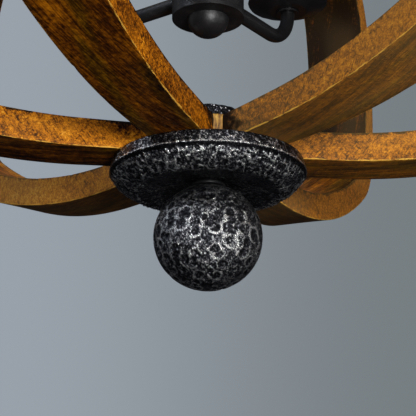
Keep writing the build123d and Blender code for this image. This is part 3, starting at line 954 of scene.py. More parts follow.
def turned(name: str, outline: Sequence[Point], sides: int, centre: Point = (0.0, 0.0)) -> Workpiece:
    """Turn a piece on the bench: a ring is extruded and resized from point to point.

    Args:
        name: Name of the piece.
        outline: Radius and height of each point, in millimetres. A line that starts and
            ends on the axis is closed there, and any other is closed on itself.
        sides: Number of sides.
        centre: Place of the axis, in millimetres.

    Returns:
        The turned piece.
    """
    on_axis = outline[0][0] == 0
    rings = [p for p in outline if p[0] > 0]
    if not on_axis:
        rings.append(rings[0])
    x, y = centre[0] * MM, centre[1] * MM
    clear_bench()
    bpy.ops.mesh.primitive_circle_add(
        vertices=sides, radius=rings[0][0] * MM, fill_type="NOTHING", location=(x, y, rings[0][1] * MM)
    )
    piece = Workpiece(name)

    def draw_out(rise: float, growth: float, height: float) -> None:
        """Extrude the ring, raise it and resize it about the axis.

        Args:
            rise: How far it is raised.
            growth: What its radius is multiplied by.
            height: The height that it is raised to.
        """
        bpy.ops.mesh.extrude_edges_move(TRANSFORM_OT_translate={"value": (0, 0, rise * MM)})
        if abs(growth - 1) > 1e-9:
            centre = (x, y, height * MM)
            bpy.ops.transform.resize(value=(growth, growth, 1), center_override=centre)

    with piece.editing():
        bpy.ops.mesh.select_all(action="SELECT")
        if on_axis:
            draw_out(outline[0][1] - rings[0][1], 1.0, outline[0][1])
            bpy.ops.mesh.merge(type="CENTER")
            reach = rings[0][0] * MM * 0.99
            piece.pick(lambda p: math.hypot(p.x - x, p.y - y) > reach)
        bpy.ops.mesh.select_mode(type="EDGE")
        for (radius, height), (next_radius, next_height) in pairwise(rings):
            draw_out(next_height - height, next_radius / radius, next_height)
        if on_axis:
            draw_out(outline[-1][1] - rings[-1][1], 1.0, outline[-1][1])
            bpy.ops.mesh.merge(type="CENTER")
    return piece


def lattice_noise(cells: np.ndarray, seed: int) -> np.ndarray:
    """Smooth noise that is the same each run.

    Args:
        cells: Points, one row each, in cells of the noise.
        seed: Which noise.

    Returns:
        A value from -1 to 1 for each point.
    """
    table = np.random.default_rng(seed).uniform(-1, 1, 4096)
    low = np.floor(cells).astype(np.int64)
    part = cells - low
    part = part * part * (3 - 2 * part)
    total = np.zeros(len(cells))
    for corner in np.ndindex(2, 2, 2):
        x, y, z = (low + corner).T
        index = (x * 73856093 ^ y * 19349663 ^ z * 83492791) & 4095
        weight = np.prod(np.where(corner, part, 1 - part), axis=1)
        total += table[index] * weight
    return total


@dataclass(frozen=True)
class HammerWork:
    """Blows of a round-faced hammer: shallow bowls with raised rims, later over earlier."""

    blows: int
    smallest: float
    largest: float
    depth: float
    rim: float
    seed: int
    most_squash: float = 0.35
    left_of_older: float = 0.3
    rim_place: float = 1.08
    rim_spread: float = 0.17
    coarse_cell: float = 2.2
    fine_cell: float = 1.1

    def strike(self, piece: Workpiece, where: Callable[[np.ndarray], np.ndarray]) -> None:
        """Hammer a piece, and keep how high each place stands as "ridge".

        Args:
            piece: The piece, which is moved along its normals.
            where: Says of points in millimetres how fully each is worked, from 0 to 1.
        """
        rng = np.random.default_rng(self.seed)
        points = piece.points()
        share = where(points)
        worked = np.flatnonzero(share > 0.05)
        spots = points[worked]
        height = np.zeros(len(spots))
        chance = share[worked] / share[worked].sum()
        for centre in rng.choice(len(spots), self.blows, p=chance):
            radius = rng.uniform(self.smallest, self.largest)
            squash = rng.uniform(0.0, self.most_squash)
            lean = rng.normal(size=3)
            lean /= np.linalg.norm(lean)
            away = spots - spots[centre]
            away = away + np.outer(away @ lean, lean) * squash
            gap = np.linalg.norm(away, axis=1) / radius
            inside = gap < 1
            bowl = -self.depth * (1 - gap**2)
            height = np.where(inside, height * self.left_of_older * gap**2 + bowl, height)
            crest = np.exp(-(((gap - self.rim_place) / self.rim_spread) ** 2))
            height += self.rim * rng.uniform(0.5, 1.6) * crest
        height += self.rim * 0.6 * lattice_noise(spots / self.coarse_cell, self.seed + 1)
        height += self.rim * 0.35 * lattice_noise(spots / self.fine_cell, self.seed + 2)
        height = np.clip(height, -1.6 * self.depth, 2.2 * self.rim)
        moved = np.zeros(len(points))
        moved[worked] = height * share[worked]
        piece.push(moved)
        ridge = np.full(len(points), 0.25)
        half_deep = self.depth * 0.55
        stand = np.clip((height + half_deep) / (half_deep + self.rim * 1.2), 0, 1)
        ridge[worked] = 0.2 + 0.8 * stand**1.5
        piece.carry("ridge", ridge * (0.25 + 0.75 * share))


# ---------------------------------------------------------------- ribs


@dataclass(frozen=True)
class RibLine:
    """Outer line of a rib from pole to widest place: a level run, then three arcs."""

    pole_run: float = 80.0
    crown_radius: float = 430.0
    crown_turn: float = 33.0
    shoulder_radius: float = 72.0
    shoulder_turn: float = 78.0
    flank_radius: float = 300.0

    @cached_property
    def arcs(self) -> list[tuple[Point, float, float, float]]:
        """Centre, radius, first turn and last turn in radians of each arc, pole at height 0."""
        first, second = math.radians(self.crown_turn), math.radians(self.shoulder_turn)
        crown = (self.pole_run, self.crown_radius)
        step = self.crown_radius - self.shoulder_radius
        shoulder = (crown[0] + step * math.sin(first), crown[1] - step * math.cos(first))
        step = self.shoulder_radius - self.flank_radius
        flank = (shoulder[0] + step * math.sin(second), shoulder[1] - step * math.cos(second))
        return [
            (crown, self.crown_radius, 0.0, first),
            (shoulder, self.shoulder_radius, first, second),
            (flank, self.flank_radius, second, math.pi / 2),
        ]

    @cached_property
    def half_height(self) -> float:
        """Height of the widest place above the pole."""
        return self.arcs[2][0][1]

    @cached_property
    def crown_length(self) -> float:
        """Length from the pole to the end of the crown."""
        return self.pole_run + self.crown_radius * math.radians(self.crown_turn)

    @cached_property
    def half_length(self) -> float:
        """Length from the pole to the widest place."""
        return self.pole_run + sum(radius * (end - start) for _, radius, start, end in self.arcs)

    def unrolled(self, reach: np.ndarray, height: np.ndarray) -> tuple[np.ndarray, ...]:
        """Where points of the lower half lie along the line.

        Args:
            reach: Distance from the axis of the orb.
            height: Height above the pole.

        Returns:
            The length along, the depth inside the line, and the inward direction as its
            part away from the axis and its part upwards.
        """
        along, depth = reach.copy(), height.copy()
        out, up = np.zeros_like(reach), np.ones_like(reach)
        done = reach < self.pole_run
        length = self.pole_run
        for number, (centre, radius, start, end) in enumerate(self.arcs):
            away_x, away_z = reach - centre[0], centre[1] - height
            turn = np.arctan2(away_x, away_z)
            here = ~done & ((turn <= end + 1e-9) | (number == 2))
            far = np.hypot(away_x, away_z)
            along[here] = (length + radius * (turn - start))[here]
            depth[here] = (radius - far)[here]
            out[here], up[here] = (-away_x / far)[here], (away_z / far)[here]
            done |= here
            length += radius * (end - start)
        return along, depth, out, up


@dataclass(frozen=True)
class RibSet:
    """The six ribs, modelled once and copied, each with its own wear."""

    line: RibLine = RibLine()
    count: int = 6
    hub_thickness: float = 18.0
    shoulder_thickness: float = 23.0
    hub_width: float = 30.5
    middle_width: float = 44.0
    middle_reach: float = 190.0
    flank_width: float = 54.0
    end_radius: float = 38.15
    arris_radius: float = 0.8
    pitch: float = 2.4
    cells_across: int = 12
    cells_deep: int = 6
    waviness: float = 0.3
    wave_length: float = 70.0
    wave_width: float = 30.0
    arris_reach: float = 1.2
    nicks: int = 36
    nick_margin: float = 60.0
    deepest_wear: float = 1.2
    fitted_end: float = 42.0
    hollow_fade: float = 18.0
    first_nick_seed: int = 40
    first_wave_seed: int = 60
    first_rough_seed: int = 80
    grain_step: float = 1370.0
    # Per rib: how much lighter its faces and its sides are, partly real staining and partly painted
    # shade so each rib reads as lit where it hangs, and how much painted grey sheen its open faces have
    stain_and_shade_offsets: tuple[Triple, ...] = (
        (0.09, 0.01, 0.26),
        (-0.04, 0.0, 0.36),
        (0.06, 0.2, 0.5),
        (-0.1, 0.03, 0.0),
        (0.0, -0.13, 0.0),
        (0.11, 0.02, 0.52),
    )

    @cached_property
    def width_curve(self) -> np.ndarray:
        """The half width over the distance from the axis, as a quadratic's factors."""
        radius = self.line.arcs[2][0][0] + self.line.flank_radius
        halves = [self.hub_width / 2, self.middle_width / 2, self.flank_width / 2]
        return np.polyfit([0.0, self.middle_reach, radius], halves, 2)

    def build(self) -> None:
        """Build and dress the ribs."""
        master = self.bent()
        self.shape(master)
        sharp = math.radians(50)
        master.modify("BEVEL", width=self.arris_radius * MM, segments=2, angle_limit=sharp)
        master.tidy(40)
        lift = (Pole.LOWER.plane + self.line.half_height) * MM
        master.object.data.transform(Matrix.Translation((0, 0, lift)))
        for number in range(self.count):
            turn = Matrix.Rotation(math.tau * number / self.count, 4, "Z")
            rib = master.copied(f"stained_rib_{number + 1}", Matrix.Identity(4))
            self.wear(rib, number)
            rib.object.data.transform(turn)
            dress(rib, RIB_WOOD, "orb", "rib_wood", f"rib_{number + 1}")
        bpy.data.objects.remove(master.object)

    def bent(self) -> Workpiece:
        """Extrude and spin an even section along the line, about the widest place.

        Returns:
            The rib of one section from hub to hub, its widest place at height 0.
        """
        drop = self.line.half_height
        start = self.end_radius
        clear_bench()
        bpy.ops.mesh.primitive_grid_add(
            x_subdivisions=self.cells_deep,
            y_subdivisions=self.cells_across,
            size=1,
            rotation=(0, math.pi / 2, 0),
        )
        rib = Workpiece("stained_rib")
        with rib.editing("FACE"):
            bpy.ops.mesh.select_all(action="SELECT")
            bpy.ops.transform.resize(
                value=(1, self.flank_width * MM, self.shoulder_thickness * MM),
                center_override=(0, 0, 0),
            )
            middle = self.shoulder_thickness / 2 - drop
            bpy.ops.transform.translate(value=(start * MM, 0, middle * MM))
            count = round((self.line.pole_run - start) / self.pitch)
            for _ in range(count):
                step = (self.line.pole_run - start) / count * MM
                bpy.ops.mesh.extrude_region_move(TRANSFORM_OT_translate={"value": (step, 0, 0)})
            for (x, z), radius, first, last in self.line.arcs:
                bpy.ops.mesh.spin(
                    steps=max(6, round(radius * (last - first) / self.pitch)),
                    angle=last - first,
                    center=(x * MM, 0, (z - drop) * MM),
                    axis=(0, 1, 0),
                )
            rib.pick(lambda p: abs(p.z) < 1e-6)
            bpy.ops.mesh.delete(type="ONLY_FACE")
        rib.modify("MIRROR", use_axis=(False, False, True), merge_threshold=1e-5)
        return rib

    def _located(self, points: np.ndarray) -> tuple[np.ndarray, ...]:
        """Where points lie along the rib.

        Args:
            points: The points, one row each, with the widest place at height 0.

        Returns:
            The length along from the lower pole, the depth from the outer line, and the
            inward direction as its part away from the axis and its part upwards.
        """
        upper = points[:, 2] > 0
        height = self.line.half_height - np.abs(points[:, 2])
        along, depth, out, up = self.line.unrolled(points[:, 0], height)
        along = np.where(upper, 2 * self.line.half_length - along, along)
        return along, depth, out, np.where(upper, -up, up)

    def _thickness(self, along: np.ndarray) -> np.ndarray:
        """Thickness of the rib.

        Args:
            along: Lengths along it from the lower pole.

        Returns:
            The thickness at each.
        """
        near = np.minimum(along, 2 * self.line.half_length - along)
        share = np.minimum(near / self.line.crown_length, 1)
        return self.hub_thickness + (self.shoulder_thickness - self.hub_thickness) * share

    def shape(self, rib: Workpiece) -> None:
        """Taper the even section, and hollow the ends to fit round the core.

        Args:
            rib: The bent rib.
        """
        points = rib.points()
        along, depth, out, up = self._located(points)
        thinner = depth * (self._thickness(along) / self.shoulder_thickness - 1)
        points[:, 0] += out * thinner
        points[:, 2] += up * thinner
        points[:, 1] *= np.polyval(self.width_curve, points[:, 0]) / (self.flank_width / 2)
        sag = self.end_radius - np.sqrt(self.end_radius**2 - points[:, 1] ** 2)
        points[:, 0] -= sag * np.clip(1 - (points[:, 0] - self.end_radius) / self.hollow_fade, 0, 1)
        rib.move_to(points)

    def wear(self, rib: Workpiece, number: int) -> None:
        """Give a copy its hand-worked faces and nicked arrises, and its grain.

        Args:
            rib: The copy, still along +X and at its hanging height.
            number: Which rib, from 0.
        """
        rng = np.random.default_rng(self.first_nick_seed + number)
        points, normals = rib.points(), rib.normals()
        centred = points - [0, 0, Pole.LOWER.plane + self.line.half_height]
        along, depth = self._located(centred)[:2]
        half_width = np.polyval(self.width_curve, points[:, 0])
        thickness = self._thickness(along)
        from_side = np.clip(half_width - np.abs(points[:, 1]), 0, None)
        from_face = np.clip(np.minimum(depth, thickness - depth), 0, None)
        arris = np.hypot(from_side, from_face)
        near = np.exp(-((arris / self.arris_reach) ** 2))
        across = points[:, 1] / self.wave_width + 9 * number
        flow = np.column_stack([along / self.wave_length, across, depth / self.wave_width])
        lift = self.waviness / 2 * (lattice_noise(flow, self.first_wave_seed + number) - 1)
        fine_flow = np.column_stack([along / 9, points[:, 1] / 12, depth / 12])
        rough = lattice_noise(fine_flow, self.first_rough_seed + number)
        lift -= near * 0.12 * np.clip(rough, 0, 1)
        for _ in range(self.nicks):
            spot = rng.uniform(self.nick_margin, 2 * self.line.half_length - self.nick_margin)
            corner = rng.choice([-1, 1])
            size = rng.uniform(0.9, 2.2)
            hit = np.exp(-(((along - spot) / size) ** 2)) * near * (np.sign(points[:, 1]) == corner)
            face = rng.choice([0.0, 1.0])
            lift -= rng.uniform(0.15, 0.45) * hit * (np.abs(depth / thickness - face) < 0.4)
        hub = np.minimum(along, 2 * self.line.half_length - along)
        ends = np.clip((hub - self.fitted_end) / 12, 0, 1)
        rib.push(np.clip(lift, -self.deepest_wear, 0.0) * ends)
        sideways = np.clip((np.abs(normals[:, 1]) - 0.45) / 0.3, 0, 1)
        shifted = along + self.grain_step * number
        grain = np.column_stack([shifted, points[:, 1] + 83.0 * number, depth])
        rib.carry("grain", grain * MM)
        rib.carry("place", np.column_stack([hub * MM, arris * MM, sideways]))
        # The per-rib offsets: partly staining, partly painted shade, and painted grey sheen
        rib.carry("stain", np.tile(self.stain_and_shade_offsets[number], (len(points), 1)))


# ---------------------------------------------------------------- hubs and ball


@dataclass(frozen=True)
class HubPiece:
    """A piece turned about the axis of a hub, its heights measured into the orb."""

    pole: Pole
    bore_radius: float

    def measured(self, points: np.ndarray) -> tuple[np.ndarray, np.ndarray]:
        """Distance from the axis and height into the orb of points."""
        height = (points[:, 2] - self.pole.plane) * self.pole.value
        return np.hypot(points[:, 0], points[:, 1]), height

    def blank(self, name: str, section: Sequence[Point], sides: int) -> Workpiece:
        """Turn the piece from its section, before it is worked."""
        outline = [(radius, self.pole.height(height)) for radius, height in section]
        return turned(name, outline, sides).tidy()


@dataclass(frozen=True)
class HubDish(HubPiece):
    """A hammered iron dish: rim band, groove, belly, and an underside hollow inside its lip."""

    inner_radius: float = 56.3
    rim_radius: float = 61.2
    band_radius: float = 63.5
    band_height: float = 8.5
    groove_radius: float = 61.7
    groove_height: float = 1.4
    belly_bulge: float = 1.3
    belly_points: int = 19
    lip_radius: float = 47.6
    depth: float = 20.5
    seat_depth: float = 14.5
    seat_radius: float = 14.0
    wall: float = 2.2
    seat_gap: float = 0.1
    edge_radius: float = 0.6
    sides: int = 520
    pitch: float = 0.8
    under_pitch: float = 1.5
    inside_pitch: float = 6.0

    def _belly(self) -> list[Point]:
        """Points of the belly, an arc from the groove to the lip."""
        top = np.array([self.groove_radius, -self.band_height - self.groove_height])
        bottom = np.array([self.lip_radius, -self.depth])
        push = np.array([self.belly_bulge, -self.belly_bulge])
        shares = np.linspace(0, 1, self.belly_points)
        bend = [top * (1 - t) + bottom * t + push * 4 * t * (1 - t) for t in shares]
        return [(float(p[0]), float(p[1])) for p in bend]

    def _outline(self) -> list[Point]:
        """Radius and height of the dish's whole section, fine where it shows."""
        groove = -self.band_height - self.groove_height
        belly = self._belly()
        band = [
            (self.inner_radius, -self.seat_gap),
            (self.rim_radius, -self.seat_gap),
            (self.band_radius, -self.band_height),
            (self.groove_radius, groove),
        ]
        under = [
            belly[-2],
            (self.lip_radius, -self.depth),
            (self.seat_radius, -self.seat_depth),
            (self.bore_radius, -self.seat_depth),
        ]
        shown = paced(eased(band, self.edge_radius), self.pitch) + belly[1:-2]
        shown += paced(eased(under, self.edge_radius), self.under_pitch)
        inside = [
            (self.bore_radius, self.wall - self.seat_depth),
            (self.seat_radius, self.wall - self.seat_depth),
            (self.lip_radius - self.wall, self.wall - self.depth),
            (self.inner_radius - 1.0, groove - 3.4),
            (self.inner_radius, groove),
        ]
        return shown + paced(inside, self.inside_pitch)

    def build(self, name: str, node: str) -> None:
        """Build and dress the dish.

        Args:
            name: Name of the piece.
            node: The CAD node that it stands for.
        """
        dish = self.blank(name, self._outline(), self.sides)

        def worked(points: np.ndarray) -> np.ndarray:
            """Full on the belly, less on the band, half underneath, none inside.

            Args:
                points: The points in millimetres, one row each.

            Returns:
                How fully each is worked, from 0 to 1.
            """
            radius, height = self.measured(points)
            outer = radius > np.interp(height, [-self.depth, -10, 0], [self.lip_radius - 2, 59, 57.5])
            slope = (self.seat_depth - self.depth) / (self.lip_radius - self.seat_radius)
            floor = -self.seat_depth + (radius - self.seat_radius) * slope
            beneath = (np.abs(height - floor) < 0.7) & (radius < self.lip_radius) & (radius > 12)
            edge = np.abs(height + self.band_height + 0.4)
            skin = np.where(height > -self.band_height, 0.6, 1.0) * np.clip(edge / 1.4, 0.1, 1)
            return np.where(outer & (height < -0.3), skin, np.where(beneath, 0.5, 0.0))

        seed = 7 if self.pole is Pole.LOWER else 8
        blows = HammerWork(blows=1000, smallest=1.3, largest=3.0, depth=0.42, rim=0.36, seed=seed)
        blows.strike(dish, worked)
        radius, height = self.measured(dish.points())
        # Painted highlight along the band's lower edge, and painted shade in the groove below it,
        # through the ridge that sets how much bright metal shows
        rim = np.exp(-(((height + self.band_height - 0.5) / 0.5) ** 2)) * (radius > self.rim_radius)
        groove = np.exp(-(((height + self.band_height + 1.3) / 0.5) ** 2)) * (radius > 58)
        dish.add_to("ridge", 0.9 * rim - 1.1 * groove)
        dress(dish, HAMMERED, "orb", "hammered_iron", node)


@dataclass(frozen=True)
class HubCap(HubPiece):
    """A domed and hammered iron cap on the inner face of a core."""

    bore_depth: float
    base: float = 19.3
    radius: float = 24.0
    wall_height: float = 11.5
    crown_height: float = 5.6
    edge_radius: float = 1.2
    dome_points: int = 26
    sides: int = 176
    pitch: float = 1.0

    def _outline(self) -> list[Point]:
        """Radius and height of the cap's section."""
        top = self.base + self.wall_height
        ball = (self.radius**2 + self.crown_height**2) / (2 * self.crown_height)
        centre = top + self.crown_height - ball
        through = self.bore_depth >= self.wall_height + self.crown_height
        inner = self.bore_radius if through else 0.0
        reaches = np.linspace(self.radius, inner, self.dome_points)
        dome = [(float(r), centre + math.sqrt(ball**2 - r**2)) for r in reaches]
        wall = eased([(self.radius, self.base), (self.radius, top), *dome[1:3]], self.edge_radius)
        skin = paced([(self.bore_radius, self.base), *wall[:-1]], self.pitch) + dome[2:]
        if through:
            return skin
        roof = self.base + self.bore_depth
        return [(0.0, roof), (self.bore_radius, roof), *skin]

    def build(self, name: str, node: str) -> None:
        """Build and dress the cap.

        Args:
            name: Name of the piece.
            node: The CAD node that it stands for.
        """
        cap = self.blank(name, self._outline(), self.sides)

        def worked(points: np.ndarray) -> np.ndarray:
            """Full on the wall and dome, none on the base and in the bore.

            Args:
                points: The points in millimetres, one row each.

            Returns:
                How fully each is worked, from 0 to 1.
            """
            radius, height = self.measured(points)
            shown = (height > self.base + 0.8) & (radius > self.bore_radius + 0.8)
            dome = (height > self.base + self.wall_height - 2) & (radius < self.radius)
            apex = (height > self.base + self.wall_height + 3) & (self.bore_radius < 5)
            return np.where(shown & (dome | (radius > self.radius - 1.5)) | apex, 1.0, 0.0)

        seed = 21 + self.pole.value
        blows = HammerWork(blows=260, smallest=1.4, largest=3.2, depth=0.32, rim=0.24, seed=seed)
        blows.strike(cap, worked)
        # Painted shade: the caps' ridges are lowered all over, so they read darker inside the orb
        cap.add_to("ridge", np.full(len(cap.points()), -0.5))
        dress(cap, HAMMERED, "orb", "hammered_iron", node)


@dataclass(frozen=True)
class HubCore(HubPiece):
    """The wooden block between the rib ends, its upper and lower arrises broken."""

    radius: float = 38.0
    height: float = 19.2
    arris: float = 0.8
    sides: int = 180
    pitch: float = 2.4
    wear_depth: float = 0.28
    wear_seed: int = 31

    def build(self, name: str, node: str) -> None:
        """Build and dress the core.

        Args:
            name: Name of the piece.
            node: The CAD node that it stands for.
        """
        corners = [
            (self.bore_radius, 0.0),
            (self.radius, 0.0),
            (self.radius, self.height),
            (self.bore_radius, self.height),
        ]
        core = self.blank(name, paced(eased(corners, self.arris), self.pitch), self.sides)
        points = core.points()
        flow = np.column_stack([points[:, 0] / 1.6, points[:, 1] / 1.6, points[:, 2] / 14])
        grooves = np.clip(lattice_noise(flow, self.wear_seed), 0, 1)
        outside = self.measured(points)[0] > self.radius - 2
        core.push(-self.wear_depth * grooves * outside)
        dress(core, CORE_WOOD, "orb", "core_wood", node)


@dataclass(frozen=True)
class BallFinial:
    """The hammered ball that screws on the stud, cut flat where it meets its washer."""

    radius: float = 34.0
    drop: float = 50.1
    top: float = -16.9
    swell: float = 0.6
    bore_radius: float = 4.3
    bore_depth: float = 30.3

    def build(self) -> None:
        """Build and dress the ball."""
        centre = Pole.LOWER.height(-self.drop)
        top = Pole.LOWER.height(self.top)
        clear_bench()
        bpy.ops.mesh.primitive_ico_sphere_add(
            subdivisions=7, radius=self.radius * MM, location=(0, 0, centre * MM)
        )
        ball = Workpiece("hammered_ball")
        with ball.editing("EDGE"):
            bpy.ops.mesh.select_all(action="SELECT")
            bpy.ops.mesh.bisect(
                plane_co=(0, 0, top * MM), plane_no=(0, 0, 1), clear_outer=True, use_fill=False
            )
            ball.pick(lambda p: abs(p.z - top * MM) < 1e-7)
            flat = math.sqrt(self.radius**2 - (top - centre) ** 2)
            bpy.ops.mesh.extrude_edges_move(TRANSFORM_OT_translate={"value": (0, 0, 0)})
            share = self.bore_radius / flat
            bpy.ops.transform.resize(value=(share, share, 1), center_override=(0, 0, top * MM))
            depth = -self.bore_depth * MM
            bpy.ops.mesh.extrude_edges_move(TRANSFORM_OT_translate={"value": (0, 0, depth)})
            bpy.ops.mesh.extrude_edges_move(TRANSFORM_OT_translate={"value": (0, 0, 0)})
            bpy.ops.mesh.merge(type="CENTER")
        ball.tidy()

        def worked(points: np.ndarray) -> np.ndarray:
            """Full on the ball's skin, less near its flat top, none in its bore.

            Args:
                points: The points in millimetres, one row each.

            Returns:
                How fully each is worked, from 0 to 1.
            """
            from_centre = np.linalg.norm(points - [0, 0, centre], axis=1)
            skin = from_centre > self.radius - 0.01
            return np.where(skin, np.clip((top - points[:, 2]) / 3.0, 0, 1), 0.0)

        blows = HammerWork(blows=250, smallest=2.4, largest=4.8, depth=0.95, rim=0.62, seed=3)
        blows.strike(ball, worked)
        points = ball.points()
        away = points - [0, 0, centre]
        far = np.linalg.norm(away, axis=1, keepdims=True)
        swell = self.swell * (1 - (away[:, 2:] / far) ** 2)
        reach = np.minimum(far * (1 + swell / self.radius), self.radius + swell)
        skin = far > self.radius - 2.0
        ball.move_to(np.where(skin, away * reach / far + [0, 0, centre], points))
        dress(ball, HAMMERED, "ball", "hammered_iron", "finial_ball")


# ---------------------------------------------------------------- candles


@dataclass(frozen=True)
class Candles:
    """Drip pans, sleeves and lamps on the four arms, each modelled once and copied."""

    reach: float = 100.0
    first_turn: float = 45.0
    spin_step: float = 1.9
    count: int = 4
    pan_bottom: float = 146.7
    pan_hole_radius: float = 5.15
    pan_seat_radius: float = 14.0
    pan_rim_radius: float = 28.0
    pan_depth: float = 7.0
    pan_wall: float = 1.5
    pan_beat_depth: float = 0.16
    sleeve_bottom: float = 148.3
    sleeve_radius: float = 11.0
    sleeve_wall: float = 1.0
    sleeve_height: float = 69.0
    sleeve_edge_radius: float = 0.45
    drips: int = 7
    drip_seed: int = 17
    base_radius: float = 5.9
    base_bottom: float = 192.3
    glass_bottom: float = 216.6
    glass_height: float = 78.0
    glass_radius: float = 16.0
    glass_wall: float = 0.7

    def build(self) -> None:
        """Build and dress the candles."""
        pan, sleeve = self.pan(), self.sleeve()
        glass, base, filament = self.glass(), self.base(), self.filament()
        for number in range(self.count):
            turn = Matrix.Rotation(math.radians(self.first_turn + 360 / self.count * number), 4, "Z")
            place = turn @ Matrix.Translation((self.reach * MM, 0, 0))
            spun = place @ Matrix.Rotation(self.spin_step * number, 4, "Z")
            tag = number + 1
            made = pan.copied(f"forged_drip_pan_{tag}", spun)
            dress(made, IRON, "orb", "black_iron", f"drip_pan_{tag}")
            made = sleeve.copied(f"wax_sleeve_{tag}", spun)
            dress(made, WAX, "orb", "sleeve", f"candle_sleeve_{tag}")
            body, node = f"bulb_{tag}", f"lamp_{tag}"
            dress(glass.copied(f"lamp_glass_{tag}", place), GLASS, body, "lamp_glass", node)
            dress(base.copied(f"lamp_cap_{tag}", place), BRASS, body, "brass", node)
            dress(filament.copied(f"lamp_filament_{tag}", place), TUNGSTEN, body, "zinc_steel", node)
        for master in (pan, sleeve, glass, base, filament):
            bpy.data.objects.remove(master.object)

    def _up(self, outline: Sequence[Point]) -> list[Point]:
        """An outline measured from the lower pole, in the frame."""
        return [(radius, Pole.LOWER.height(height)) for radius, height in outline]

    def pan(self) -> Workpiece:
        """A dished pan with a rolled rim.

        Returns:
            The pan, its axis on the frame's.
        """
        foot, rim = self.pan_bottom, self.pan_bottom + self.pan_depth
        under = eased(
            [(self.pan_hole_radius, foot), (self.pan_seat_radius, foot), (self.pan_rim_radius, rim)],
            self.pan_depth,
            8,
        )
        bead = arc((self.pan_rim_radius - 0.4, rim + 0.5), 1.25, -50, 190, 10)
        over = [(radius - 0.35, height + self.pan_wall) for radius, height in reversed(under)]
        over = [p for p in over if p[1] < rim - 0.4 and p[0] > self.pan_hole_radius + 0.5]
        outline = [*under[:-1], *bead, *over, (self.pan_hole_radius, foot + self.pan_wall)]
        pan = turned("forged_drip_pan", self._up(outline), 96).tidy(45)
        points = pan.points()
        radius = np.hypot(points[:, 0], points[:, 1])
        beat = lattice_noise(points / [4.0, 4.0, 40.0], 51) * np.clip((radius - 12) / 6, 0, 1)
        pan.push(self.pan_beat_depth * beat)
        return pan

    def sleeve(self) -> Workpiece:
        """A candle sleeve with wax drips down its outside.

        Returns:
            The sleeve, its axis on the frame's.
        """
        inner, outer = self.sleeve_radius - self.sleeve_wall, self.sleeve_radius
        bottom, top = self.sleeve_bottom, self.sleeve_bottom + self.sleeve_height
        corners = [(inner, bottom), (outer, bottom), (outer, top), (inner, top)]
        outline = self._up(paced(eased(corners, self.sleeve_edge_radius), 1.1))
        sleeve = turned("wax_sleeve", outline, 128).tidy()
        rng = np.random.default_rng(self.drip_seed)
        points = sleeve.points()
        turn = np.arctan2(points[:, 1], points[:, 0])
        radius = np.hypot(points[:, 0], points[:, 1])
        height = points[:, 2] - Pole.LOWER.height(bottom)
        grown = np.zeros(len(points))
        for start in np.linspace(0, math.tau, self.drips, endpoint=False):
            angle = start + rng.uniform(-0.3, 0.3)
            tip = rng.uniform(0.3, 0.86) * self.sleeve_height
            width = rng.uniform(1.3, 2.2)
            across = ((turn - angle + math.pi) % math.tau - math.pi) * self.sleeve_radius
            across = across + 0.5 * np.sin(height / 9 + start)
            run = np.clip((height - tip) / 3.0, 0, 1)
            swell = 1 + 0.7 * np.exp(-(((height - tip - 3.5) / 3.5) ** 2))
            drop = rng.uniform(0.7, 1.1) * run * swell * np.exp(-((across / width) ** 2))
            grown = np.maximum(grown, drop)
        collar = 0.7 * np.clip((height - self.sleeve_height + 5) / 5, 0, 1) ** 2
        grown = np.maximum(grown, collar * (height < self.sleeve_height - 0.6))
        outside = radius > (inner + outer) / 2
        grown = grown * outside * np.clip((self.sleeve_height - height) / 0.8 + 0.5, 0, 1)
        points[:, 0] += np.cos(turn) * grown
        points[:, 1] += np.sin(turn) * grown
        sleeve.move_to(points)
        return sleeve

    def _glass_line(self, inset: float) -> list[Point]:
        """Line of the glass from its foot to its tip.

        Args:
            inset: How far the line lies inside the outer face.

        Returns:
            The radius and height of each point.
        """
        foot, tip = self.glass_bottom + 0.4, self.glass_bottom + self.glass_height
        heights = [0.0, 0.04, 0.14, 0.3, 0.45, 0.6, 0.75, 0.88, 0.96, 1.0]
        shares = [0.36, 0.47, 0.8, 0.97, 0.93, 0.79, 0.56, 0.31, 0.13, 0.0]
        fine = np.linspace(0, 1, 44)
        smooth = np.interp(fine, heights, shares)
        for _ in range(6):
            smooth[1:-1] = (smooth[:-2] + 2 * smooth[1:-1] + smooth[2:]) / 4
        radii = np.clip(self.glass_radius * smooth - inset, 0.05, None)
        return [(float(r), float(foot + (tip - foot - inset) * t)) for r, t in zip(radii, fine)]

    def glass(self) -> Workpiece:
        """The flame-shaped glass, with a wall.

        Returns:
            The glass, its axis on the frame's.
        """
        outer = self._glass_line(0.0)[:-1]
        inner = self._glass_line(self.glass_wall)[:-1]
        skin = [*outer, (0.12, outer[-1][1] + 0.5), (0.1, outer[-1][1] - 1.0), *reversed(inner)]
        return turned("lamp_glass", self._up(skin), 56).tidy(60)

    def base(self) -> Workpiece:
        """The brass screw cap, with its thread and its contact.

        Returns:
            The cap, its axis on the frame's.
        """
        low, high = self.base_bottom, self.glass_bottom + 3.2
        thread_foot, thread_head = low + 4.0, self.glass_bottom - 4.0
        outline = [(0.0, low), (2.4, low), (2.9, low + 0.8), (4.6, low + 2.6)]
        turns, steps = 6, 36
        for i in range(steps + 1):
            wave = 0.28 * math.cos(math.tau * turns * i / steps)
            height = thread_foot + (thread_head - thread_foot) * i / steps
            outline.append((self.base_radius - 0.32 + wave, height))
        outline += [(self.base_radius, thread_head + 1.6), (self.base_radius + 0.1, high - 0.7)]
        outline += [(self.base_radius - 0.4, high), (3.0, high), (0.0, high)]
        return turned("lamp_cap", self._up(outline), 40).tidy()

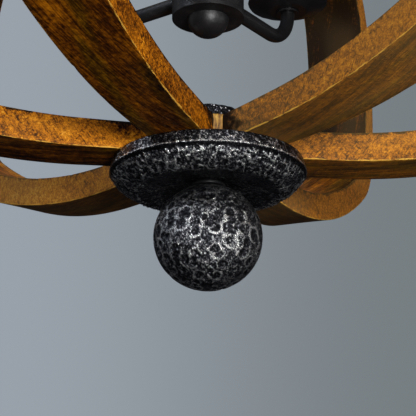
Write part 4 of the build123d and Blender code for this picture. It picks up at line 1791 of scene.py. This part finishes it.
    def filament(self) -> Workpiece:
        """A stem with four upright wires between two rings.

        Returns:
            The filament, its axis on the frame's.
        """
        low, high = self.glass_bottom + 3.0, self.glass_bottom + 50.0
        wires, circle = 4, 2.4
        stem = [(0.0, low), (1.6, low), (1.4, low + 12), (0.0, low + 13)]
        post = turned("lamp_post", self._up(stem), 16)
        for number in range(wires):
            turn = math.tau * number / wires + 0.4
            foot = (circle * math.cos(turn), circle * math.sin(turn))
            line = [(0.0, low + 6), (0.28, low + 6), (0.28, high), (0.0, high)]
            post.join(turned("lamp_wire", self._up(line), 8, foot))
        for height in (low + 8, high - 1):
            clear_bench()
            bpy.ops.mesh.primitive_torus_add(
                location=(0, 0, Pole.LOWER.height(height) * MM),
                major_radius=circle * MM,
                minor_radius=0.3 * MM,
                major_segments=24,
                minor_segments=6,
            )
            post.join(Workpiece("lamp_ring"))
        return post.tidy(60)


# ---------------------------------------------------------------- chain


@dataclass(frozen=True)
class Chain:
    """The four forged links, modelled once and copied."""

    count: int = 4
    wire_radius: float = 2.5
    bend_radius: float = 10.0
    straight: float = 25.0
    cuts: int = 9
    weld_height: float = 0.28
    weld_length: float = 1.6
    dent_depth: float = 0.12
    fine_depth: float = 0.07

    def build(self) -> None:
        """Build and dress the links."""
        link = self.link()
        for number in range(1, self.count + 1):
            low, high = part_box(f"chain_link_{number}")
            turn = Matrix.Rotation(math.pi / 2 * (number % 2), 4, "Z")
            middle = Matrix.Translation((0, 0, (low.z + high.z) / 2))
            flip = Matrix.Rotation(math.pi * (number > 2), 4, "Z")
            made = link.copied(f"forged_link_{number}", middle @ turn @ flip)
            dress(made, IRON, f"link_{number}", "black_iron", f"chain_link_{number}")
        bpy.data.objects.remove(link.object)

    def link(self) -> Workpiece:
        """A ring drawn out to a link, its weld and its hammer marks.

        Returns:
            The link in the XZ plane, centred on the origin.
        """
        clear_bench()
        bpy.ops.mesh.primitive_torus_add(
            rotation=(math.pi / 2, 0, 0),
            major_radius=self.bend_radius * MM,
            minor_radius=self.wire_radius * MM,
            major_segments=64,
            minor_segments=28,
        )
        link = Workpiece("forged_link")
        half = self.straight / 2 * MM
        with link.editing():
            bpy.ops.mesh.select_all(action="SELECT")
            bpy.ops.mesh.bisect(plane_co=(0, 0, 0), plane_no=(0, 0, 1))
            link.pick(lambda p: p.z > 1e-7)
            bpy.ops.transform.translate(value=(0, 0, half))
            link.pick(lambda p: p.z < -1e-7)
            bpy.ops.transform.translate(value=(0, 0, -half))
        with link.editing("EDGE"):
            link.pick(lambda p: abs(p.z) < half and abs(p.z) > 1e-5)
            bpy.ops.mesh.subdivide(number_cuts=self.cuts, quadcorner="INNERVERT")
        link.tidy(60)
        points = link.points()
        weld = np.exp(-((points[:, 2] / self.weld_length) ** 2)) * (points[:, 0] > 0)
        lift = self.weld_height * weld + self.dent_depth * lattice_noise(points / 3.2, 91)
        lift = lift + self.fine_depth * lattice_noise(points / 1.3, 92)
        link.push(lift - self.dent_depth)
        return link


# ---------------------------------------------------------------- frame parts and studio


def dress_frame_nodes() -> None:
    """Give every CAD node its finish, by the material slot that the record names."""
    for name, node in sorted(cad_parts.items()):
        for slot in node.material_slots:
            kind = slot.material.name.split(".")[0]
            if kind in CAD_FINISHES:
                slot.material = CAD_FINISHES[kind].material
            else:
                log.warning("%s has a slot %s with no finish", name, kind)
    log.info("%d frame nodes dressed", len(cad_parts))


def bearing(azimuth: float, elevation: float) -> Vector:
    """Direction from the orb to a place around it, in radians from straight in front."""
    level = math.cos(elevation)
    return Vector((math.sin(azimuth) * level, -math.cos(azimuth) * level, math.sin(elevation)))


@dataclass(frozen=True)
class SoftLight:
    """A square studio light aimed at the orb."""

    name: str
    azimuth: float
    elevation: float
    distance: float
    side: float
    power: float
    colour: Triple = (1.0, 1.0, 1.0)
    glossy: bool = True

    def build(self, target: Vector) -> None:
        """Set the light up.

        Args:
            target: What it is aimed at.
        """
        back = bearing(math.radians(self.azimuth), math.radians(self.elevation))
        lamp = bpy.data.lights.new(self.name, "AREA")
        lamp.shape, lamp.size, lamp.energy, lamp.color = "SQUARE", self.side, self.power, self.colour
        made = bpy.data.objects.new(self.name, lamp)
        made.location = target + back * self.distance
        made.rotation_euler = (-back).to_track_quat("-Z", "Y").to_euler()
        made.visible_glossy = self.glossy
        made.visible_transmission = False
        bpy.context.scene.collection.objects.link(made)


@dataclass(frozen=True)
class Studio:
    """The camera of the photograph, soft lights, a pale floor and a blue-grey background."""

    picture_width: float = 416.0
    focal_pixels: float = 1334.4
    camera_distance: float = 808.5
    camera_azimuth: float = -9.26
    camera_drop: float = 290.2
    camera_pitch: float = 17.81
    floor_height: float = -2.4
    floor_side: float = 14.0
    left_tone: Colour = srgb(153, 161, 170)
    right_tone: Colour = srgb(118, 126, 130)
    ambient: float = 0.16
    reflected: float = 0.02
    aim_height: float = 0.06
    sensor_width: float = 36.0

    def build(self) -> None:
        """Set up the camera, the lights, the floor and the world."""
        self.camera()
        target = Vector((0, 0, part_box("rib_1")[0].z + self.aim_height))
        lights = [
            SoftLight("key", self.camera_azimuth + 19, -9, 2.4, 0.65, 54),
            SoftLight("left_fill", self.camera_azimuth - 54, 40, 2.6, 1.1, 26, (0.8, 0.88, 1.0)),
            SoftLight("left_sheen", self.camera_azimuth - 102, 15, 3.0, 1.5, 3, (0.84, 0.9, 1.0)),
            SoftLight("right_soft", self.camera_azimuth + 78, -6, 3.0, 0.8, 7),
            SoftLight("top", self.camera_azimuth + 20, 66, 2.6, 1.2, 8),
            SoftLight("back", self.camera_azimuth + 176, 40, 3.0, 1.4, 24, glossy=False),
        ]
        for light in lights:
            light.build(target)
        self.floor()
        self.world()

    def camera(self) -> None:
        """Put the camera where the photograph was taken from."""
        turn, pitch = math.radians(self.camera_azimuth), math.radians(self.camera_pitch)
        data = bpy.data.cameras.new("photo_camera")
        data.sensor_fit, data.sensor_width = "HORIZONTAL", self.sensor_width
        data.lens = self.focal_pixels / self.picture_width * data.sensor_width
        data.clip_start, data.clip_end = 0.01, 100.0
        camera = bpy.data.objects.new("photo_camera", data)
        reach = self.camera_distance * MM
        height = Pole.LOWER.height(-self.camera_drop) * MM
        camera.location = (reach * math.sin(turn), -reach * math.cos(turn), height)
        camera.rotation_euler = (-bearing(turn, -pitch)).to_track_quat("-Z", "Y").to_euler()
        bpy.context.scene.collection.objects.link(camera)
        bpy.context.scene.camera = camera

    def floor(self) -> None:
        """Lay the floor."""
        clear_bench()
        bpy.ops.mesh.primitive_plane_add(size=self.floor_side, location=(0, 0, self.floor_height))
        floor = Workpiece("studio_floor")
        floor.object.data.materials.append(FLOOR.material)

    def world(self) -> None:
        """Light the scene evenly, and show the background to the camera and in reflections."""
        world = bpy.data.worlds.new("studio_world")
        world.use_nodes = True
        sheet = Sheet(world.node_tree)
        turn = math.radians(self.camera_azimuth)
        direction = sheet.node("ShaderNodeTexCoord", output="Generated")
        across = sheet.node(
            "ShaderNodeVectorMath",
            {"operation": "DOT_PRODUCT"},
            {0: direction, 1: (math.cos(turn), math.sin(turn), 0.0)},
            output="Value",
        )
        backdrop = sheet.mixed(across.step(-0.17, 0.17), self.left_tone, self.right_tone)
        path = sheet.node("ShaderNodeLightPath", output="Is Camera Ray")
        outputs = path.socket.node.outputs
        seen = path.largest(Signal(sheet, outputs["Is Transmission Ray"]))
        plain = (self.ambient, self.ambient, self.ambient * 1.04, 1.0)
        mirrored = (self.reflected, self.reflected, self.reflected * 1.2, 1.0)
        light = sheet.mixed(Signal(sheet, outputs["Is Glossy Ray"]), plain, mirrored)
        light = sheet.mixed(seen, light, backdrop)
        shader = sheet.node("ShaderNodeBackground", {}, {"Color": light, "Strength": 1.0})
        sheet.finish(shader, "ShaderNodeOutputWorld")
        bpy.context.scene.world = world
        bpy.context.scene.view_settings.view_transform = "Standard"


def main() -> None:
    """Build every piece in order."""
    logging.basicConfig(level=logging.INFO, format="%(name)s: %(message)s")
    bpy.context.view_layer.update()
    dress_frame_nodes()
    RibSet().build()
    HubDish(Pole.LOWER, LOWER_BORE).build("hammered_dish_lower", "lower_dish")
    HubDish(Pole.UPPER, UPPER_BORE).build("hammered_dish_upper", "upper_dish")
    HubCap(Pole.LOWER, LOWER_BORE, 10.1).build("hammered_cap_lower", "lower_cap")
    HubCap(Pole.UPPER, UPPER_BORE, 17.1).build("hammered_cap_upper", "upper_cap")
    HubCore(Pole.LOWER, LOWER_BORE).build("hub_core_lower", "lower_hub_core")
    HubCore(Pole.UPPER, UPPER_BORE).build("hub_core_upper", "upper_hub_core")
    BallFinial().build()
    Candles().build()
    Chain().build()
    clear_bench()
    Studio().build()


if __name__ == "__main__":
    main()
